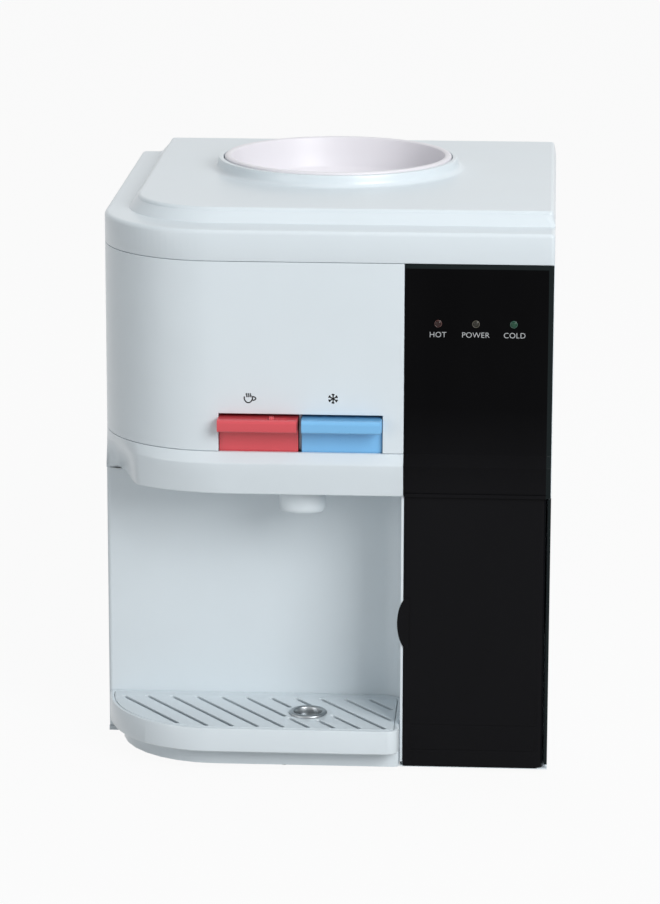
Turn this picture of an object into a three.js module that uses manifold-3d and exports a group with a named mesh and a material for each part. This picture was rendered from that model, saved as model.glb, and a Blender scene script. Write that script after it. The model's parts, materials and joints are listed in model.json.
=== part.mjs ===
// Countertop water dispenser with a bottle well on top, two tap levers over one spout,
// a cup bay with a drip tray, and a dark column with indicator lamps over a cup cupboard.
// Millimetres. +X is to the right of someone facing it, +Y to the back, +Z up.
// The origin is the middle of its footprint, on the surface that it stands on.
import * as THREE from "three";
import { mergeVertices } from "three/addons/utils/BufferGeometryUtils.js";
import Module from "manifold-3d";

const wasm = await Module();
wasm.setup();

// Body, seen from above
const bodyWidth = 300;
const bodyDepth = 312; // front panel to the back of the side panels
const rearBulge = 5; // how far the rear cover stands behind the side panels
const rearInset = 21.5; // from the left side to the rear cover
const headCorner = 78; // radius of the big front left corner
const edgeCorner = 3; // radius of the other upright corners
const columnWidth = 98.2; // dark column at the right; the rest is the cup bay
const bayDepth = 66;
const bayCorner = 14; // radius of the bay's inner corner, beside the column
const trayProud = 16.5; // how far the drip tray stands in front of the front panel
const drainProud = 12; // how far the drain cap stands behind the rear cover

// Heights, from the surface up
const footHeight = 4;
const plinthHeight = 12.5;
const trayHeight = 16.8;
const bayHeight = 156.7;
const chinHeight = 28.5;
const upperHeight = 126.8;
const lidSkirt = 20.3;
const plateauRise = 9.5;
const collarRise = 8;

// Mouldings
const wall = 2.4; // walls of the casing
const thinWall = 1.6; // ribs, flanges and small mouldings
const gap = 0.3; // between neighbouring pieces
const slip = 0.4; // round a piece that slides or turns
const overrun = 4; // how far a cutter passes the face that it opens
const chordSag = 0.4; // most that a facet stands off its curve

// Bottle well and cold tank, on one upright axis
const wellFromLeft = 149;
const wellFromBack = 118;
const wellRadius = 79.4;

const left = -bodyWidth / 2;
const right = bodyWidth / 2;
const overallDepth = trayProud + bodyDepth + rearBulge + drainProud;
const front = trayProud - overallDepth / 2;
const back = front + bodyDepth;
const rearFace = back + rearBulge;
const bayBack = front + bayDepth;
const bayRight = right - columnWidth;
const sideStart = front + headCorner + edgeCorner; // where the side panel takes over from the front
const wellX = left + wellFromLeft;
const wellY = back - wellFromBack;

const base = footHeight;
const floorThick = 3;
const floorTop = base + floorThick;
const plinthTop = base + plinthHeight;
const trayTop = plinthTop + trayHeight;
const chinBottom = trayTop + bayHeight;
const chinSeam = chinBottom + chinHeight;
const lidSeam = chinSeam + upperHeight;
const ledgeTop = lidSeam + lidSkirt;
const plateauTop = ledgeTop + plateauRise;
const collarTop = plateauTop + collarRise;

const paint = (color, roughness, metalness = 0) =>
  new THREE.MeshStandardMaterial({ color, roughness, metalness });
const materials = {
  whiteGloss: paint("#dde5ea", 0.32),
  blackGloss: paint("#0b0c0e", 0.12),
  redPlastic: paint("#dc5464", 0.38),
  bluePlastic: paint("#71b2ea", 0.38),
  greyPlastic: paint("#8d9398", 0.6),
  darkPlastic: paint("#26282b", 0.55),
  clearRed: paint("#8e1f1c", 0.2),
  clearAmber: paint("#d9c9a0", 0.2),
  clearGreen: paint("#1d6b46", 0.2),
  steel: paint("#b9bdc0", 0.35, 1),
  chrome: paint("#d4d8db", 0.12, 1),
  aluminium: paint("#c3c6c8", 0.45, 1),
  foam: paint("#eceade", 0.95),
  silicone: paint("#dfe3e2", 0.5),
  rubber: paint("#2b2b2b", 0.85),
  board: paint("#1f6a45", 0.6),
};

const root = new THREE.Group();

// A closed geometry as a solid that can be joined and cut.
function solidOf(geometry) {
  const bare = geometry.clone();
  bare.deleteAttribute("normal");
  bare.deleteAttribute("uv");
  const merged = mergeVertices(bare, 1e-4);
  return new wasm.Manifold(
    new wasm.Mesh({
      numProp: 3,
      vertProperties: new Float32Array(merged.attributes.position.array),
      triVerts: new Uint32Array(merged.index.array),
    }),
  );
}

// A solid as a named mesh in the object.
function addPiece(name, solid, material) {
  const mesh = solid.getMesh();
  const geometry = new THREE.BufferGeometry();
  const stride = mesh.numProp;
  const positions = new Float32Array(mesh.numVert * 3);
  for (let i = 0; i < mesh.numVert; i++) {
    positions.set(mesh.vertProperties.subarray(i * stride, i * stride + 3), i * 3);
  }
  geometry.setAttribute("position", new THREE.BufferAttribute(positions, 3));
  geometry.setIndex(new THREE.BufferAttribute(new Uint32Array(mesh.triVerts), 1));
  geometry.computeVertexNormals();
  const piece = new THREE.Mesh(geometry, material);
  piece.name = name;
  root.add(piece);
}

const join = (...solids) => solids.reduce((all, one) => all.add(one));
const cut = (solid, ...cutters) => cutters.reduce((rest, one) => rest.subtract(one), solid);

// Steps of a quarter turn that keep the facets of a radius within the sag.
const fewestSteps = 3;
const quarterSteps = (radius) =>
  Math.max(fewestSteps, Math.ceil(Math.PI / 4 / Math.acos(1 - Math.min(chordSag / radius, 0.5))));

function box(x0, x1, y0, y1, z0, z1) {
  const geometry = new THREE.BoxGeometry(x1 - x0, y1 - y0, z1 - z0);
  geometry.translate((x0 + x1) / 2, (y0 + y1) / 2, (z0 + z1) / 2);
  return solidOf(geometry);
}

// A round bar or disc from a start along X, Y or Z; endRadius tapers it.
function round(axis, radius, x, y, z, length, endRadius = radius) {
  const sides = 4 * quarterSteps(Math.max(radius, endRadius));
  const geometry = new THREE.CylinderGeometry(endRadius, radius, length, sides);
  geometry.translate(0, length / 2, 0);
  if (axis === "x") geometry.rotateZ(-Math.PI / 2);
  if (axis === "z") geometry.rotateX(Math.PI / 2);
  geometry.translate(x, y, z);
  return solidOf(geometry);
}

// A cutter for a round hole, whose flats lie outside the radius.
function bore(axis, radius, x, y, z, length) {
  const sides = 4 * quarterSteps(radius);
  return round(axis, radius / Math.cos(Math.PI / sides), x, y, z, length);
}

// A profile of [radius, height] points turned round an upright axis.
function turned(profile, x, y, sides = 4 * quarterSteps(Math.max(...profile.map((p) => p[0])))) {
  const points = profile.map(([radius, height]) => new THREE.Vector2(radius, height));
  const geometry = new THREE.LatheGeometry(points, sides);
  geometry.rotateX(Math.PI / 2);
  geometry.translate(x, y, 0);
  const solid = solidOf(geometry);
  return solid.volume() > 0 ? solid : turned([...profile].reverse(), x, y, sides);
}

// Points of an arc in a plane, both ends included.
function arc(cx, cy, rx, ry, from, to, steps = quarterSteps(Math.max(rx, ry))) {
  return Array.from({ length: steps + 1 }, (_, i) => {
    const angle = from + ((to - from) * i) / steps;
    return new THREE.Vector2(cx + rx * Math.cos(angle), cy + ry * Math.sin(angle));
  });
}

// A rectangle with a radius of its own at each corner, anticlockwise from the first.
// With steps given, every corner has that many facets, so that outlines match in a loft.
function roundedPoints(x0, x1, y0, y1, { fl = 0, fr = 0, br = 0, bl = 0 } = {}, steps = undefined) {
  const quarter = Math.PI / 2;
  const corner = (cx, cy, radius, from) =>
    radius > 0 ? arc(cx, cy, radius, radius, from, from + quarter, steps) : [new THREE.Vector2(cx, cy)];
  return [
    ...corner(x0 + fl, y0 + fl, fl, 2 * quarter),
    ...corner(x1 - fr, y0 + fr, fr, 3 * quarter),
    ...corner(x1 - br, y1 - br, br, 0),
    ...corner(x0 + bl, y1 - bl, bl, quarter),
  ];
}

// A plane outline given depth along Z from z0 to z1.
function prism(points, z0, z1) {
  const geometry = new THREE.ExtrudeGeometry(new THREE.Shape(points), {
    depth: z1 - z0,
    bevelEnabled: false,
  });
  geometry.translate(0, 0, z0);
  return solidOf(geometry);
}

// An outline of (y, z) points given depth along X from x0 to x1.
function prismX(points, x0, x1) {
  const geometry = new THREE.ExtrudeGeometry(new THREE.Shape(points), {
    depth: x1 - x0,
    bevelEnabled: false,
  });
  geometry.rotateX(Math.PI / 2);
  geometry.rotateZ(Math.PI / 2);
  geometry.translate(x0, 0, 0);
  return solidOf(geometry);
}

// An outline of (x, z) points given depth along Y from y0 to y1.
function prismY(points, y0, y1) {
  const geometry = new THREE.ExtrudeGeometry(new THREE.Shape(points), {
    depth: y1 - y0,
    bevelEnabled: false,
  });
  geometry.rotateX(Math.PI / 2);
  geometry.translate(0, y1, 0);
  return solidOf(geometry);
}

// A skin through rings of points that match one to one, each ring level, closed at both ends.
function loft(rings) {
  const count = rings[0].points.length;
  const positions = rings.flatMap(({ points, z }) => points.flatMap((p) => [p.x, p.y, z]));
  const index = [];
  for (let k = 0; k + 1 < rings.length; k++) {
    for (let i = 0; i < count; i++) {
      const j = (i + 1) % count;
      const [a, b, c, d] = [k * count + i, k * count + j, (k + 1) * count + j, (k + 1) * count + i];
      index.push(a, b, c, a, c, d);
    }
  }
  const top = (rings.length - 1) * count;
  for (const [i, j, k] of THREE.ShapeUtils.triangulateShape(rings[0].points, [])) {
    index.push(k, j, i);
  }
  for (const [i, j, k] of THREE.ShapeUtils.triangulateShape(rings.at(-1).points, [])) {
    index.push(top + i, top + j, top + k);
  }
  const geometry = new THREE.BufferGeometry();
  geometry.setAttribute("position", new THREE.Float32BufferAttribute(positions, 3));
  geometry.setIndex(index);
  return solidOf(geometry);
}

// A round rod or hose along a smooth route.
function hose(route, radius, steps, sides = 8) {
  const path = new THREE.CatmullRomCurve3(route.map((p) => new THREE.Vector3(...p)), false, "centripetal");
  const section = new THREE.Shape(arc(0, 0, radius, radius, 0, 2 * Math.PI, sides).slice(0, -1));
  return solidOf(new THREE.ExtrudeGeometry(section, { steps, extrudePath: path, bevelEnabled: false }));
}

// Base pan: floor plate that carries everything, with the plinth nose under the drip tray.
const plinthInset = 10.5; // at the left, where the nose leaves the bay wall
const plinthProud = 1.5; // nose in front of the front panel
const plinthRun = 68; // from the nose's left end to where its front runs straight
const doorThick = 4;
const doorGap = 1; // behind the door
const upstand = 8; // height of the rim that the side panels are screwed to
const footPlug = 3.5; // radius of the plug that holds a foot
const footRadius = 9;
const footInset = 28; // of the rear and right feet, from the sides
const noseFootX = 124; // of the foot under the nose, from the left side
const noseFootY = 17; // and from the front panel
const feet = [
  [left + noseFootX, front + noseFootY],
  [left + footInset, back - footInset],
  [right - footInset, back - footInset],
  [right - footInset, front + footInset],
];
const noseEnd = bayRight - gap; // right end of the nose and of the tray

// The rounded front of the nose, the tray and the grille: a quarter ellipse on the left,
// a straight front and a small radius on the right.
// Its back right corner follows the rounded corner of the bay.
function nosePoints(inset, run, proud, rightEnd, rightCorner, backY) {
  const frontY = front - proud;
  const backCorner = bayCorner - (bayRight - rightEnd);
  return [
    ...arc(left + inset + run, backY, run, backY - frontY, Math.PI, 1.5 * Math.PI),
    ...arc(rightEnd - rightCorner, frontY + rightCorner, rightCorner, rightCorner, -Math.PI / 2, 0),
    ...arc(rightEnd - backCorner, backY - backCorner, backCorner, backCorner, 0, Math.PI / 2),
  ];
}

const columnFloorFront = front + doorThick + doorGap;
const doorFootGap = 1.2; // under the door, over the base pan's underside
const doorLip = doorFootGap - gap; // of the base pan, under the door
const doorRight = right - wall - gap - slip;
const pinX = doorRight - doorThick; // hinge axis of the column door, in its back face
const pinY = front + doorThick;
const pinRadius = 1.5;
const noseBack = bayBack - gap;
let basePan = join(
  box(left, right, bayBack, back, base, floorTop),
  box(left + rearInset, right, back - overrun, rearFace, base, floorTop),
  box(bayRight, right, columnFloorFront, bayBack + overrun, base, floorTop),
  cut(
    prism(nosePoints(plinthInset, plinthRun, plinthProud, noseEnd, edgeCorner, noseBack), base, plinthTop),
    prism(
      nosePoints(plinthInset + wall, plinthRun - wall, plinthProud - wall, noseEnd - wall, edgeCorner,
        noseBack - wall),
      base - overrun,
      plinthTop - wall,
    ),
  ),
  box(left + plinthInset, noseEnd - bayCorner, noseBack - wall, bayBack + overrun, base, floorTop),
  box(bayRight, right, front, columnFloorFront + overrun, base, base + doorLip),
);
// Room for the door's end to turn in
basePan = cut(
  basePan,
  box(pinX - doorThick, doorRight + gap, columnFloorFront - overrun, pinY + doorThick + doorGap,
    base + doorLip, floorTop + overrun),
);
const rimOut = wall + gap; // from the outside of the body to the outside of the rim
const rimIn = rimOut + thinWall;
basePan = join(
  basePan,
  box(left + rimOut, left + rimIn, sideStart + rimOut, back - rimOut, floorTop - gap, floorTop + upstand),
  box(right - rimIn, right - rimOut, bayBack, back - rimOut, floorTop - gap, floorTop + upstand),
);
const footBoss = footPlug + slip + wall;
for (const [x, y] of feet) {
  basePan = join(basePan, round("z", footBoss, x, y, base, floorThick));
  basePan = cut(basePan, bore("z", footPlug + slip / 2, x, y, base - overrun, floorThick + 2 * overrun));
}
basePan = cut(
  basePan,
  bore("z", pinRadius + slip / 2, pinX, pinY, base - overrun, floorThick + 2 * overrun),
);
// A plain pad beside the nose's foot ties its boss to the nose wall.
const noseFoot = feet[0];
basePan = join(
  basePan,
  cut(
    box(noseFoot[0] - footBoss, noseFoot[0] + footBoss, front - plinthProud + wall / 2, noseFoot[1],
      base, floorTop),
    bore("z", footPlug + slip / 2, noseFoot[0], noseFoot[1], base - overrun, floorThick + 2 * overrun),
  ),
);
// Air intake slots in the floor, under the tanks
const intakeCount = 7;
const intakePitch = 12;
const intakeWidth = 5;
const intakeLength = 70;
const intakeFromLeft = 62;
const intakeFromBay = 44;
const intakeX = left + intakeFromLeft;
const intakeY = bayBack + intakeFromBay;
for (let i = 0; i < intakeCount; i++) {
  const x = intakeX + i * intakePitch;
  basePan = cut(
    basePan,
    box(x, x + intakeWidth, intakeY, intakeY + intakeLength, base - overrun, floorTop + overrun),
  );
}
addPiece("base_pan", basePan, materials.whiteGloss);

// Feet: soft pads whose plugs press up into the base pan
feet.forEach(([x, y], i) => {
  const pad = turned(
    [
      [0, 0],
      [footRadius - thinWall, 0],
      [footRadius, thinWall],
      [footRadius, footHeight - gap],
      [footPlug, footHeight - gap],
      [footPlug, floorTop - gap],
      [0, floorTop - gap],
    ],
    x,
    y,
  );
  addPiece("foot_" + (i + 1), pad, materials.rubber);
});

// Bay liner: back wall of the cup bay, rounded into the wall beside the column, and turned
// round the left edge to meet the side panel.
const linerBottom = floorTop + gap;
const linerTop = chinBottom - gap;
const columnWall = 1.8; // of the liner's wall beside the door
const linerOuter = [
  ...arc(left + edgeCorner, bayBack + edgeCorner, edgeCorner, edgeCorner, Math.PI, 1.5 * Math.PI),
  ...arc(bayRight - bayCorner, bayBack - bayCorner, bayCorner, bayCorner, Math.PI / 2, 0),
  new THREE.Vector2(bayRight, front),
  new THREE.Vector2(bayRight + columnWall, front),
  ...arc(bayRight + columnWall - bayCorner, bayBack + columnWall - bayCorner, bayCorner, bayCorner,
    0, Math.PI / 2),
  new THREE.Vector2(left + wall, bayBack + columnWall),
  new THREE.Vector2(left + wall, sideStart - gap),
  new THREE.Vector2(left, sideStart - gap),
];
const bayLiner = prism(linerOuter, linerBottom, linerTop);
addPiece("bay_liner", bayLiner, materials.whiteGloss);

// Side panels
const panelBottom = floorTop + gap;
const panelTop = lidSeam - gap;
const leftPanel = cut(
  prism(roundedPoints(left, left + rearInset - gap, sideStart, back, { bl: edgeCorner }), panelBottom,
    panelTop),
  prism(
    roundedPoints(left + wall, left + rearInset, sideStart - overrun, back - wall,
      { bl: edgeCorner - wall }),
    panelBottom - overrun,
    panelTop + overrun,
  ),
);
addPiece("left_side_panel", leftPanel, materials.whiteGloss);

const rearReturn = 8; // of the right panel round the back corner
const lampPanelThick = 3;
const doorRelief = 1; // bevel of its inner front edge, over which the open door leans
const rightPanel = cut(
  prism(
    roundedPoints(right - rearReturn, right, front, rearFace, { fr: thinWall / 2, br: edgeCorner }),
    panelBottom,
    panelTop,
  ),
  prism(
    roundedPoints(right - rearReturn - overrun, right - wall, front - overrun, rearFace - wall,
      { br: edgeCorner - wall }),
    panelBottom - overrun,
    panelTop + overrun,
  ),
  box(right - rearReturn, right + overrun, front - overrun, front + lampPanelThick + gap,
    chinBottom - gap, panelTop + overrun),
  prism(
    [
      new THREE.Vector2(right - wall - overrun, front - overrun),
      new THREE.Vector2(right - wall + doorRelief + overrun, front - overrun),
      new THREE.Vector2(right - wall - overrun, front + doorRelief + overrun),
    ],
    panelBottom - overrun,
    chinBottom,
  ),
);
addPiece("right_side_panel", rightPanel, materials.whiteGloss);

// Upper front panel: wraps the big corner, with the two tap windows in its lower edge.
const columnLap = 1.5; // of the white front past the bay's edge
const panelEnd = bayRight + columnLap; // where the white front meets the black column
const windowHeight = 25.5;
const windowPost = 2.4; // between the two windows
const windowFromCorner = 3.7; // from the big corner to the first window
const windowFromColumn = 14; // from the last window to the column
const revealDepth = 5;
const hotLeft = left + headCorner + windowFromCorner;
const windowWidth = (panelEnd - windowFromColumn - windowPost - hotLeft) / 2;
const hotRight = hotLeft + windowWidth;
const coldLeft = hotRight + windowPost;
const coldRight = coldLeft + windowWidth;
const windowTop = chinSeam + windowHeight;
const upperBottom = chinSeam + gap / 2;
const windows = [
  [hotLeft, hotRight],
  [coldLeft, coldRight],
];
const reveal = box(
  hotLeft - thinWall,
  coldRight + thinWall,
  front + wall / 2,
  front + wall + revealDepth,
  upperBottom,
  windowTop + thinWall,
);
let upperPanel = join(
  cut(
    prism(roundedPoints(left, panelEnd - gap, front, sideStart - gap, { fl: headCorner }), upperBottom,
      panelTop),
    prism(
      roundedPoints(left + wall, panelEnd + overrun, front + wall, sideStart + overrun,
        { fl: headCorner - wall }),
      upperBottom - overrun,
      panelTop + overrun,
    ),
  ),
  box(panelEnd - gap - thinWall, panelEnd - gap, front + wall / 2, front + wall + revealDepth, upperBottom,
    panelTop),
  reveal,
);
for (const [x0, x1] of windows) {
  upperPanel = cut(
    upperPanel,
    box(x0, x1, front - overrun, front + wall + revealDepth + overrun, upperBottom - overrun, windowTop),
  );
}
addPiece("upper_front_panel", upperPanel, materials.whiteGloss);

// Chin: the rounded band under the levers, whose lip leans out and whose left side draws in.
const lipDrop = 7.1; // height of the leaning lip
const lipProud = 5; // of the band in front of the front panel
const chinFootProud = 1.5; // of the band's lower edge
const chinInset = 15; // of its underside at the left, by the bay wall
const chinRun = 75;
const chinStep = 1; // of the underside in front of the bay wall at the left
const chinTop = chinSeam - gap / 2;
const lipZ = chinSeam - lipDrop;

// One level of the chin: inset is how far its left side has drawn in, skin moves it inwards.
function chinRing(z, inset, run, proud, step, skin) {
  const frontY = front - proud + skin;
  const backY = sideStart - gap;
  const curveY = front + headCorner - (inset / chinInset) * (front + headCorner - bayBack) - step;
  const startY = Math.min(backY - gap, curveY + skin);
  return {
    z,
    points: [
      new THREE.Vector2(left + skin, backY),
      new THREE.Vector2(left + skin, startY),
      ...arc(left + inset + run, startY, run - skin, startY - frontY, Math.PI, 1.5 * Math.PI,
        quarterSteps(headCorner)),
      new THREE.Vector2(panelEnd - gap - skin, frontY),
      new THREE.Vector2(panelEnd - gap - skin, backY),
    ],
  };
}
const lipInset = (chinInset * lipDrop) / chinHeight;
const lipRun = headCorner + ((chinRun - headCorner) * lipDrop) / chinHeight;
const chinOuter = loft([
  chinRing(chinBottom, chinInset, chinRun, chinFootProud, chinStep, 0),
  chinRing(lipZ, lipInset, lipRun, lipProud, (chinStep * lipDrop) / chinHeight, 0),
  chinRing(chinTop, 0, headCorner, 0, 0, 0),
]);
const chinInner = loft([
  chinRing(chinBottom + wall, chinInset, chinRun, chinFootProud, chinStep, wall),
  chinRing(lipZ, lipInset, lipRun, lipProud, (chinStep * lipDrop) / chinHeight, wall),
  chinRing(chinTop, 0, headCorner, 0, 0, wall),
  chinRing(chinTop + overrun, 0, headCorner, 0, 0, wall),
]);
const backOpening = box(left + wall, panelEnd - gap - wall, front + headCorner - edgeCorner,
  sideStart + overrun, chinBottom + wall, chinTop + overrun);

// Spout: an oval nozzle with a hot and a cold way, under a plate that carries the valves.
const spoutX = hotRight + windowPost / 2;
const spoutFromFront = 23;
const spoutY = front + spoutFromFront;
const spoutHalfWidth = 15.4;
const spoutHalfDepth = 11;
const spoutDrop = 16.8; // below the chin
const spoutTip = 5; // height of its rounded end
const spoutLip = 1.2; // height of the first, flatter part of that end
const wayRadius = 3.6;
const wayApart = 12; // between the hot and the cold way
const plateThick = 4;
const plateLip = 4; // of the plate in front of the nozzle
const plateMargin = 2.5; // of the plate beside the valves
const plateTail = 1; // of the plate behind the valves
const valveFromFront = 28;
const valveFlange = 12;
const valveApart = windowWidth + windowPost; // one under the middle of each lever
const stemY = front + valveFromFront;
const plateFront = spoutY - spoutHalfDepth - plateLip;
const plateBack = stemY + valveFlange + plateTail;
const plateHalf = valveApart / 2 + valveFlange + plateMargin;
const plateZ = chinBottom + wall + gap;
const spoutRing = (z, inset) => ({
  z,
  points: arc(spoutX, spoutY, spoutHalfWidth - inset, spoutHalfDepth - inset, 0, 2 * Math.PI,
    4 * quarterSteps(spoutHalfWidth)).slice(0, -1),
});
const tipInset = 3;
const spoutBottom = chinBottom - spoutDrop;
let spout = join(
  loft([
    spoutRing(spoutBottom, tipInset),
    spoutRing(spoutBottom + spoutLip, tipInset / 3),
    spoutRing(spoutBottom + spoutTip, 0),
    spoutRing(plateZ + plateThick / 2, 0),
  ]),
  prism(
    roundedPoints(spoutX - plateHalf, spoutX + plateHalf, plateFront, plateBack,
      { fl: edgeCorner, fr: edgeCorner, br: edgeCorner, bl: edgeCorner }),
    plateZ,
    plateZ + plateThick,
  ),
);
for (const side of [-1, 1]) {
  spout = cut(spout, bore("z", wayRadius, spoutX + (side * wayApart) / 2, spoutY, spoutBottom - overrun,
    spoutDrop));
}
addPiece("spout", spout, materials.whiteGloss);

const spoutHole = loft([
  spoutRing(chinBottom - overrun, -gap),
  spoutRing(chinBottom + wall + overrun, -gap),
]);
addPiece("chin_cover", cut(chinOuter, chinInner, backOpening, spoutHole), materials.whiteGloss);

// Column, upper half: black panel with three lamp holes and the same leaning lip.
const columnLeft = panelEnd;
const columnRight = right - gap;
const lampRadius = 2.1;
const lampPitch = 24.5;
const lampFromColumn = 21.7; // first lamp, from the panel's left end
const lampDrop = 39; // of the lamps below the panel's top
const lampZ = panelTop - lampDrop;
const flangeDepth = 14;
const flangeThick = 2.4;
const lipFace = [
  [0, panelTop],
  [0, chinSeam],
  [-lipProud, lipZ],
  [-chinFootProud, chinBottom],
];
const lampProfile = [
  ...lipFace.map(([y, z]) => new THREE.Vector2(front + y, z)),
  new THREE.Vector2(front + flangeDepth, chinBottom),
  new THREE.Vector2(front + flangeDepth, chinBottom + flangeThick),
  new THREE.Vector2(front + lampPanelThick - chinFootProud, chinBottom + flangeThick),
  new THREE.Vector2(front + lampPanelThick - lipProud, lipZ),
  new THREE.Vector2(front + lampPanelThick, chinSeam),
  new THREE.Vector2(front + lampPanelThick, panelTop),
].reverse();
const rightNotch = box(right - wall - gap, right + overrun, front + lampPanelThick,
  front + flangeDepth + overrun, chinBottom - overrun, chinBottom + flangeThick + overrun);
const lampXs = [0, 1, 2].map((i) => columnLeft + lampFromColumn + i * lampPitch);
// Bosses behind the panel carry the lamp board.
const lampBossRadius = 2.4;
const lampBossLength = 7;
const boardInset = 9; // from the board's end to the boss
const boardMargin = 13; // of the board past its outer lamps
const boardWidth = 2 * lampPitch + 2 * boardMargin;
const boardHeight = 22;
const boardThick = 1.6;
const lampMiddle = lampXs[1];
const bossXs = [lampMiddle - boardWidth / 2 + boardInset / 2, lampMiddle + boardWidth / 2 - boardInset / 2];
let lampPanel = cut(prismX(lampProfile, columnLeft, columnRight), rightNotch);
for (const x of bossXs) {
  lampPanel = join(
    lampPanel,
    round("y", lampBossRadius, x, front + lampPanelThick / 2, lampZ, lampPanelThick / 2 + lampBossLength),
  );
}
for (const x of lampXs) {
  lampPanel = cut(lampPanel, bore("y", lampRadius, x, front - overrun, lampZ, lampPanelThick + 2 * overrun));
}
lampPanel = cut(lampPanel, bore("z", pinRadius + slip / 2, pinX, pinY, chinBottom - overrun,
  flangeThick + 2 * overrun));
addPiece("lamp_panel", lampPanel, materials.blackGloss);

// Lamps: clear lenses pressed into the panel, in front of a board on the bosses
const lensProud = 0.5;
const lensFlange = 1; // wider than its hole, behind the panel
["lamp_hot", "lamp_power", "lamp_cold"].forEach((name, i) => {
  const material = [materials.clearRed, materials.clearAmber, materials.clearGreen][i];
  const lens = join(
    round("y", lampRadius - gap / 2, lampXs[i], front - lensProud, lampZ,
      lensProud + lampPanelThick + gap + lensFlange / 2),
    round("y", lampRadius + lensFlange, lampXs[i], front + lampPanelThick + gap, lampZ,
      lampBossLength - 2 * gap),
  );
  addPiece(name, lens, material);
});
const boardY = front + lampPanelThick + lampBossLength + gap;
addPiece(
  "lamp_board",
  box(lampMiddle - boardWidth / 2, lampMiddle + boardWidth / 2, boardY, boardY + boardThick,
    lampZ - boardHeight / 2, lampZ + boardHeight / 2),
  materials.board,
);

// Column door: hung on the right, with a rounded finger tab on its left edge.
const doorLeft = bayRight + columnWall + slip;
const doorBottom = base + doorFootGap;
const doorTop = chinBottom - slip;
const tabReach = 4.4;
const tabHalfHeight = 17.5;
const tabRise = 99.5; // of the tab's middle over the base
const tabZ = base + tabRise;
const tabThick = 2.6;
const knuckleLength = 14;
const knuckleRadius = doorThick - thinWall / 2;
const railDepth = 5; // of the rim round the door's back
let door = join(
  prism(roundedPoints(doorLeft, doorRight, front, front + doorThick, { fr: doorThick - gap }), doorBottom,
    doorTop),
  box(doorLeft + doorThick, doorLeft + doorThick + thinWall, front + wall, front + doorThick + railDepth,
    doorBottom + doorThick, doorTop - doorThick),
  prismY(
    arc(doorLeft + edgeCorner, tabZ, tabReach + edgeCorner, tabHalfHeight, Math.PI / 2, 1.5 * Math.PI),
    front - (tabThick - thinWall),
    front - gap,
  ),
  box(doorLeft, doorLeft + edgeCorner, front - (tabThick - thinWall), front + thinWall,
    tabZ - tabHalfHeight, tabZ + tabHalfHeight),
);
for (const z of [floorTop + slip, doorTop - slip - knuckleLength]) {
  door = join(door, round("z", knuckleRadius, pinX, pinY, z, knuckleLength));
}
door = cut(door, bore("z", pinRadius + slip / 2, pinX, pinY, doorBottom - overrun,
  doorTop - doorBottom + 2 * overrun));
addPiece("column_door", door, materials.blackGloss);

const pinTop = chinBottom + flangeThick + thinWall;
addPiece("door_hinge_pin", round("z", pinRadius, pinX, pinY, base + gap, pinTop - base - gap),
  materials.steel);

// Cupboard for cups behind the door: a liner that is open at the front
const cupboardFront = front + doorThick + railDepth + doorGap;
const cupboardDepth = 110;
const cupboardLeft = bayRight + columnWall + gap;
const cupboardRight = right - rimIn - gap;
const cupboardBottom = floorTop + gap;
const cupboardTop = chinBottom - gap;
const cupboardBack = cupboardFront + cupboardDepth;
const cupboard = cut(
  box(cupboardLeft, cupboardRight, cupboardFront, cupboardBack, cupboardBottom, cupboardTop),
  box(cupboardLeft + thinWall, cupboardRight - thinWall, cupboardFront - overrun, cupboardBack - thinWall,
    cupboardBottom + thinWall, cupboardTop - thinWall),
);
addPiece("cupboard_liner", cupboard, materials.greyPlastic);

// Drip tray: a basin with a rebate for its grille
const trayInset = 1.5; // at the left, by the bay wall
const trayRun = 74.5; // from the tray's left end to where its front runs straight
const trayCorner = 8; // radius of its front right corner
const trayRim = 3;
const trayLedge = 2; // carries the grille
const trayFloor = 2.2;
const grilleThick = 2.6;
const trayBottom = plinthTop + gap;
const grilleBottom = trayTop - grilleThick;
const trayPoints = (inwards) =>
  nosePoints(trayInset + inwards, trayRun - inwards, trayProud - inwards, noseEnd - inwards,
    trayCorner - inwards, noseBack - inwards);
const dripTray = cut(
  prism(trayPoints(0), trayBottom, trayTop),
  prism(trayPoints(trayRim), grilleBottom - gap, trayTop + overrun),
  prism(trayPoints(trayRim + trayLedge), trayBottom + trayFloor, trayTop + overrun),
);
addPiece("drip_tray", dripTray, materials.whiteGloss);

// Grille: slanting slots over the whole plate, and a hole for the drain ring
const slotPitch = 16.9; // across the bay
const slotStart = 10.5; // where the first slot's line meets the back of the field, from the left
const slotTurn = (53.8 * Math.PI) / 180; // of the slots from the front edge
const slotWidth = 2.8;
const fieldInset = 12; // of the slotted field at the left
const fieldRun = 66;
const fieldFrontMargin = 6.1; // of the plate in front of the field
const fieldEndMargin = 6;
const fieldBackMargin = 12.1;
const fieldProud = trayProud - fieldFrontMargin;
const fieldEnd = noseEnd - fieldEndMargin;
const fieldBack = noseBack - fieldBackMargin;
const ringBeside = 3.9; // right of the spout's middle
const ringBefore = 1.5; // in front of it
const ringX = spoutX + ringBeside;
const ringY = spoutY - ringBefore;
const ringSleeve = 11.4;
const ringPad = 17; // radius of the plain disc round the drain ring
const field = cut(
  prism(
    nosePoints(fieldInset, fieldRun, fieldProud, fieldEnd, trayCorner / 2, fieldBack),
    grilleBottom - overrun,
    trayTop + overrun,
  ),
  round("z", ringPad, ringX, ringY, grilleBottom - 2 * overrun, grilleThick + 4 * overrun),
);
const slotAcross = slotWidth / Math.sin(slotTurn) / 2;
const slotSlope = 1 / Math.tan(slotTurn);
let grille = prism(trayPoints(trayRim + slip), grilleBottom, trayTop);
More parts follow.
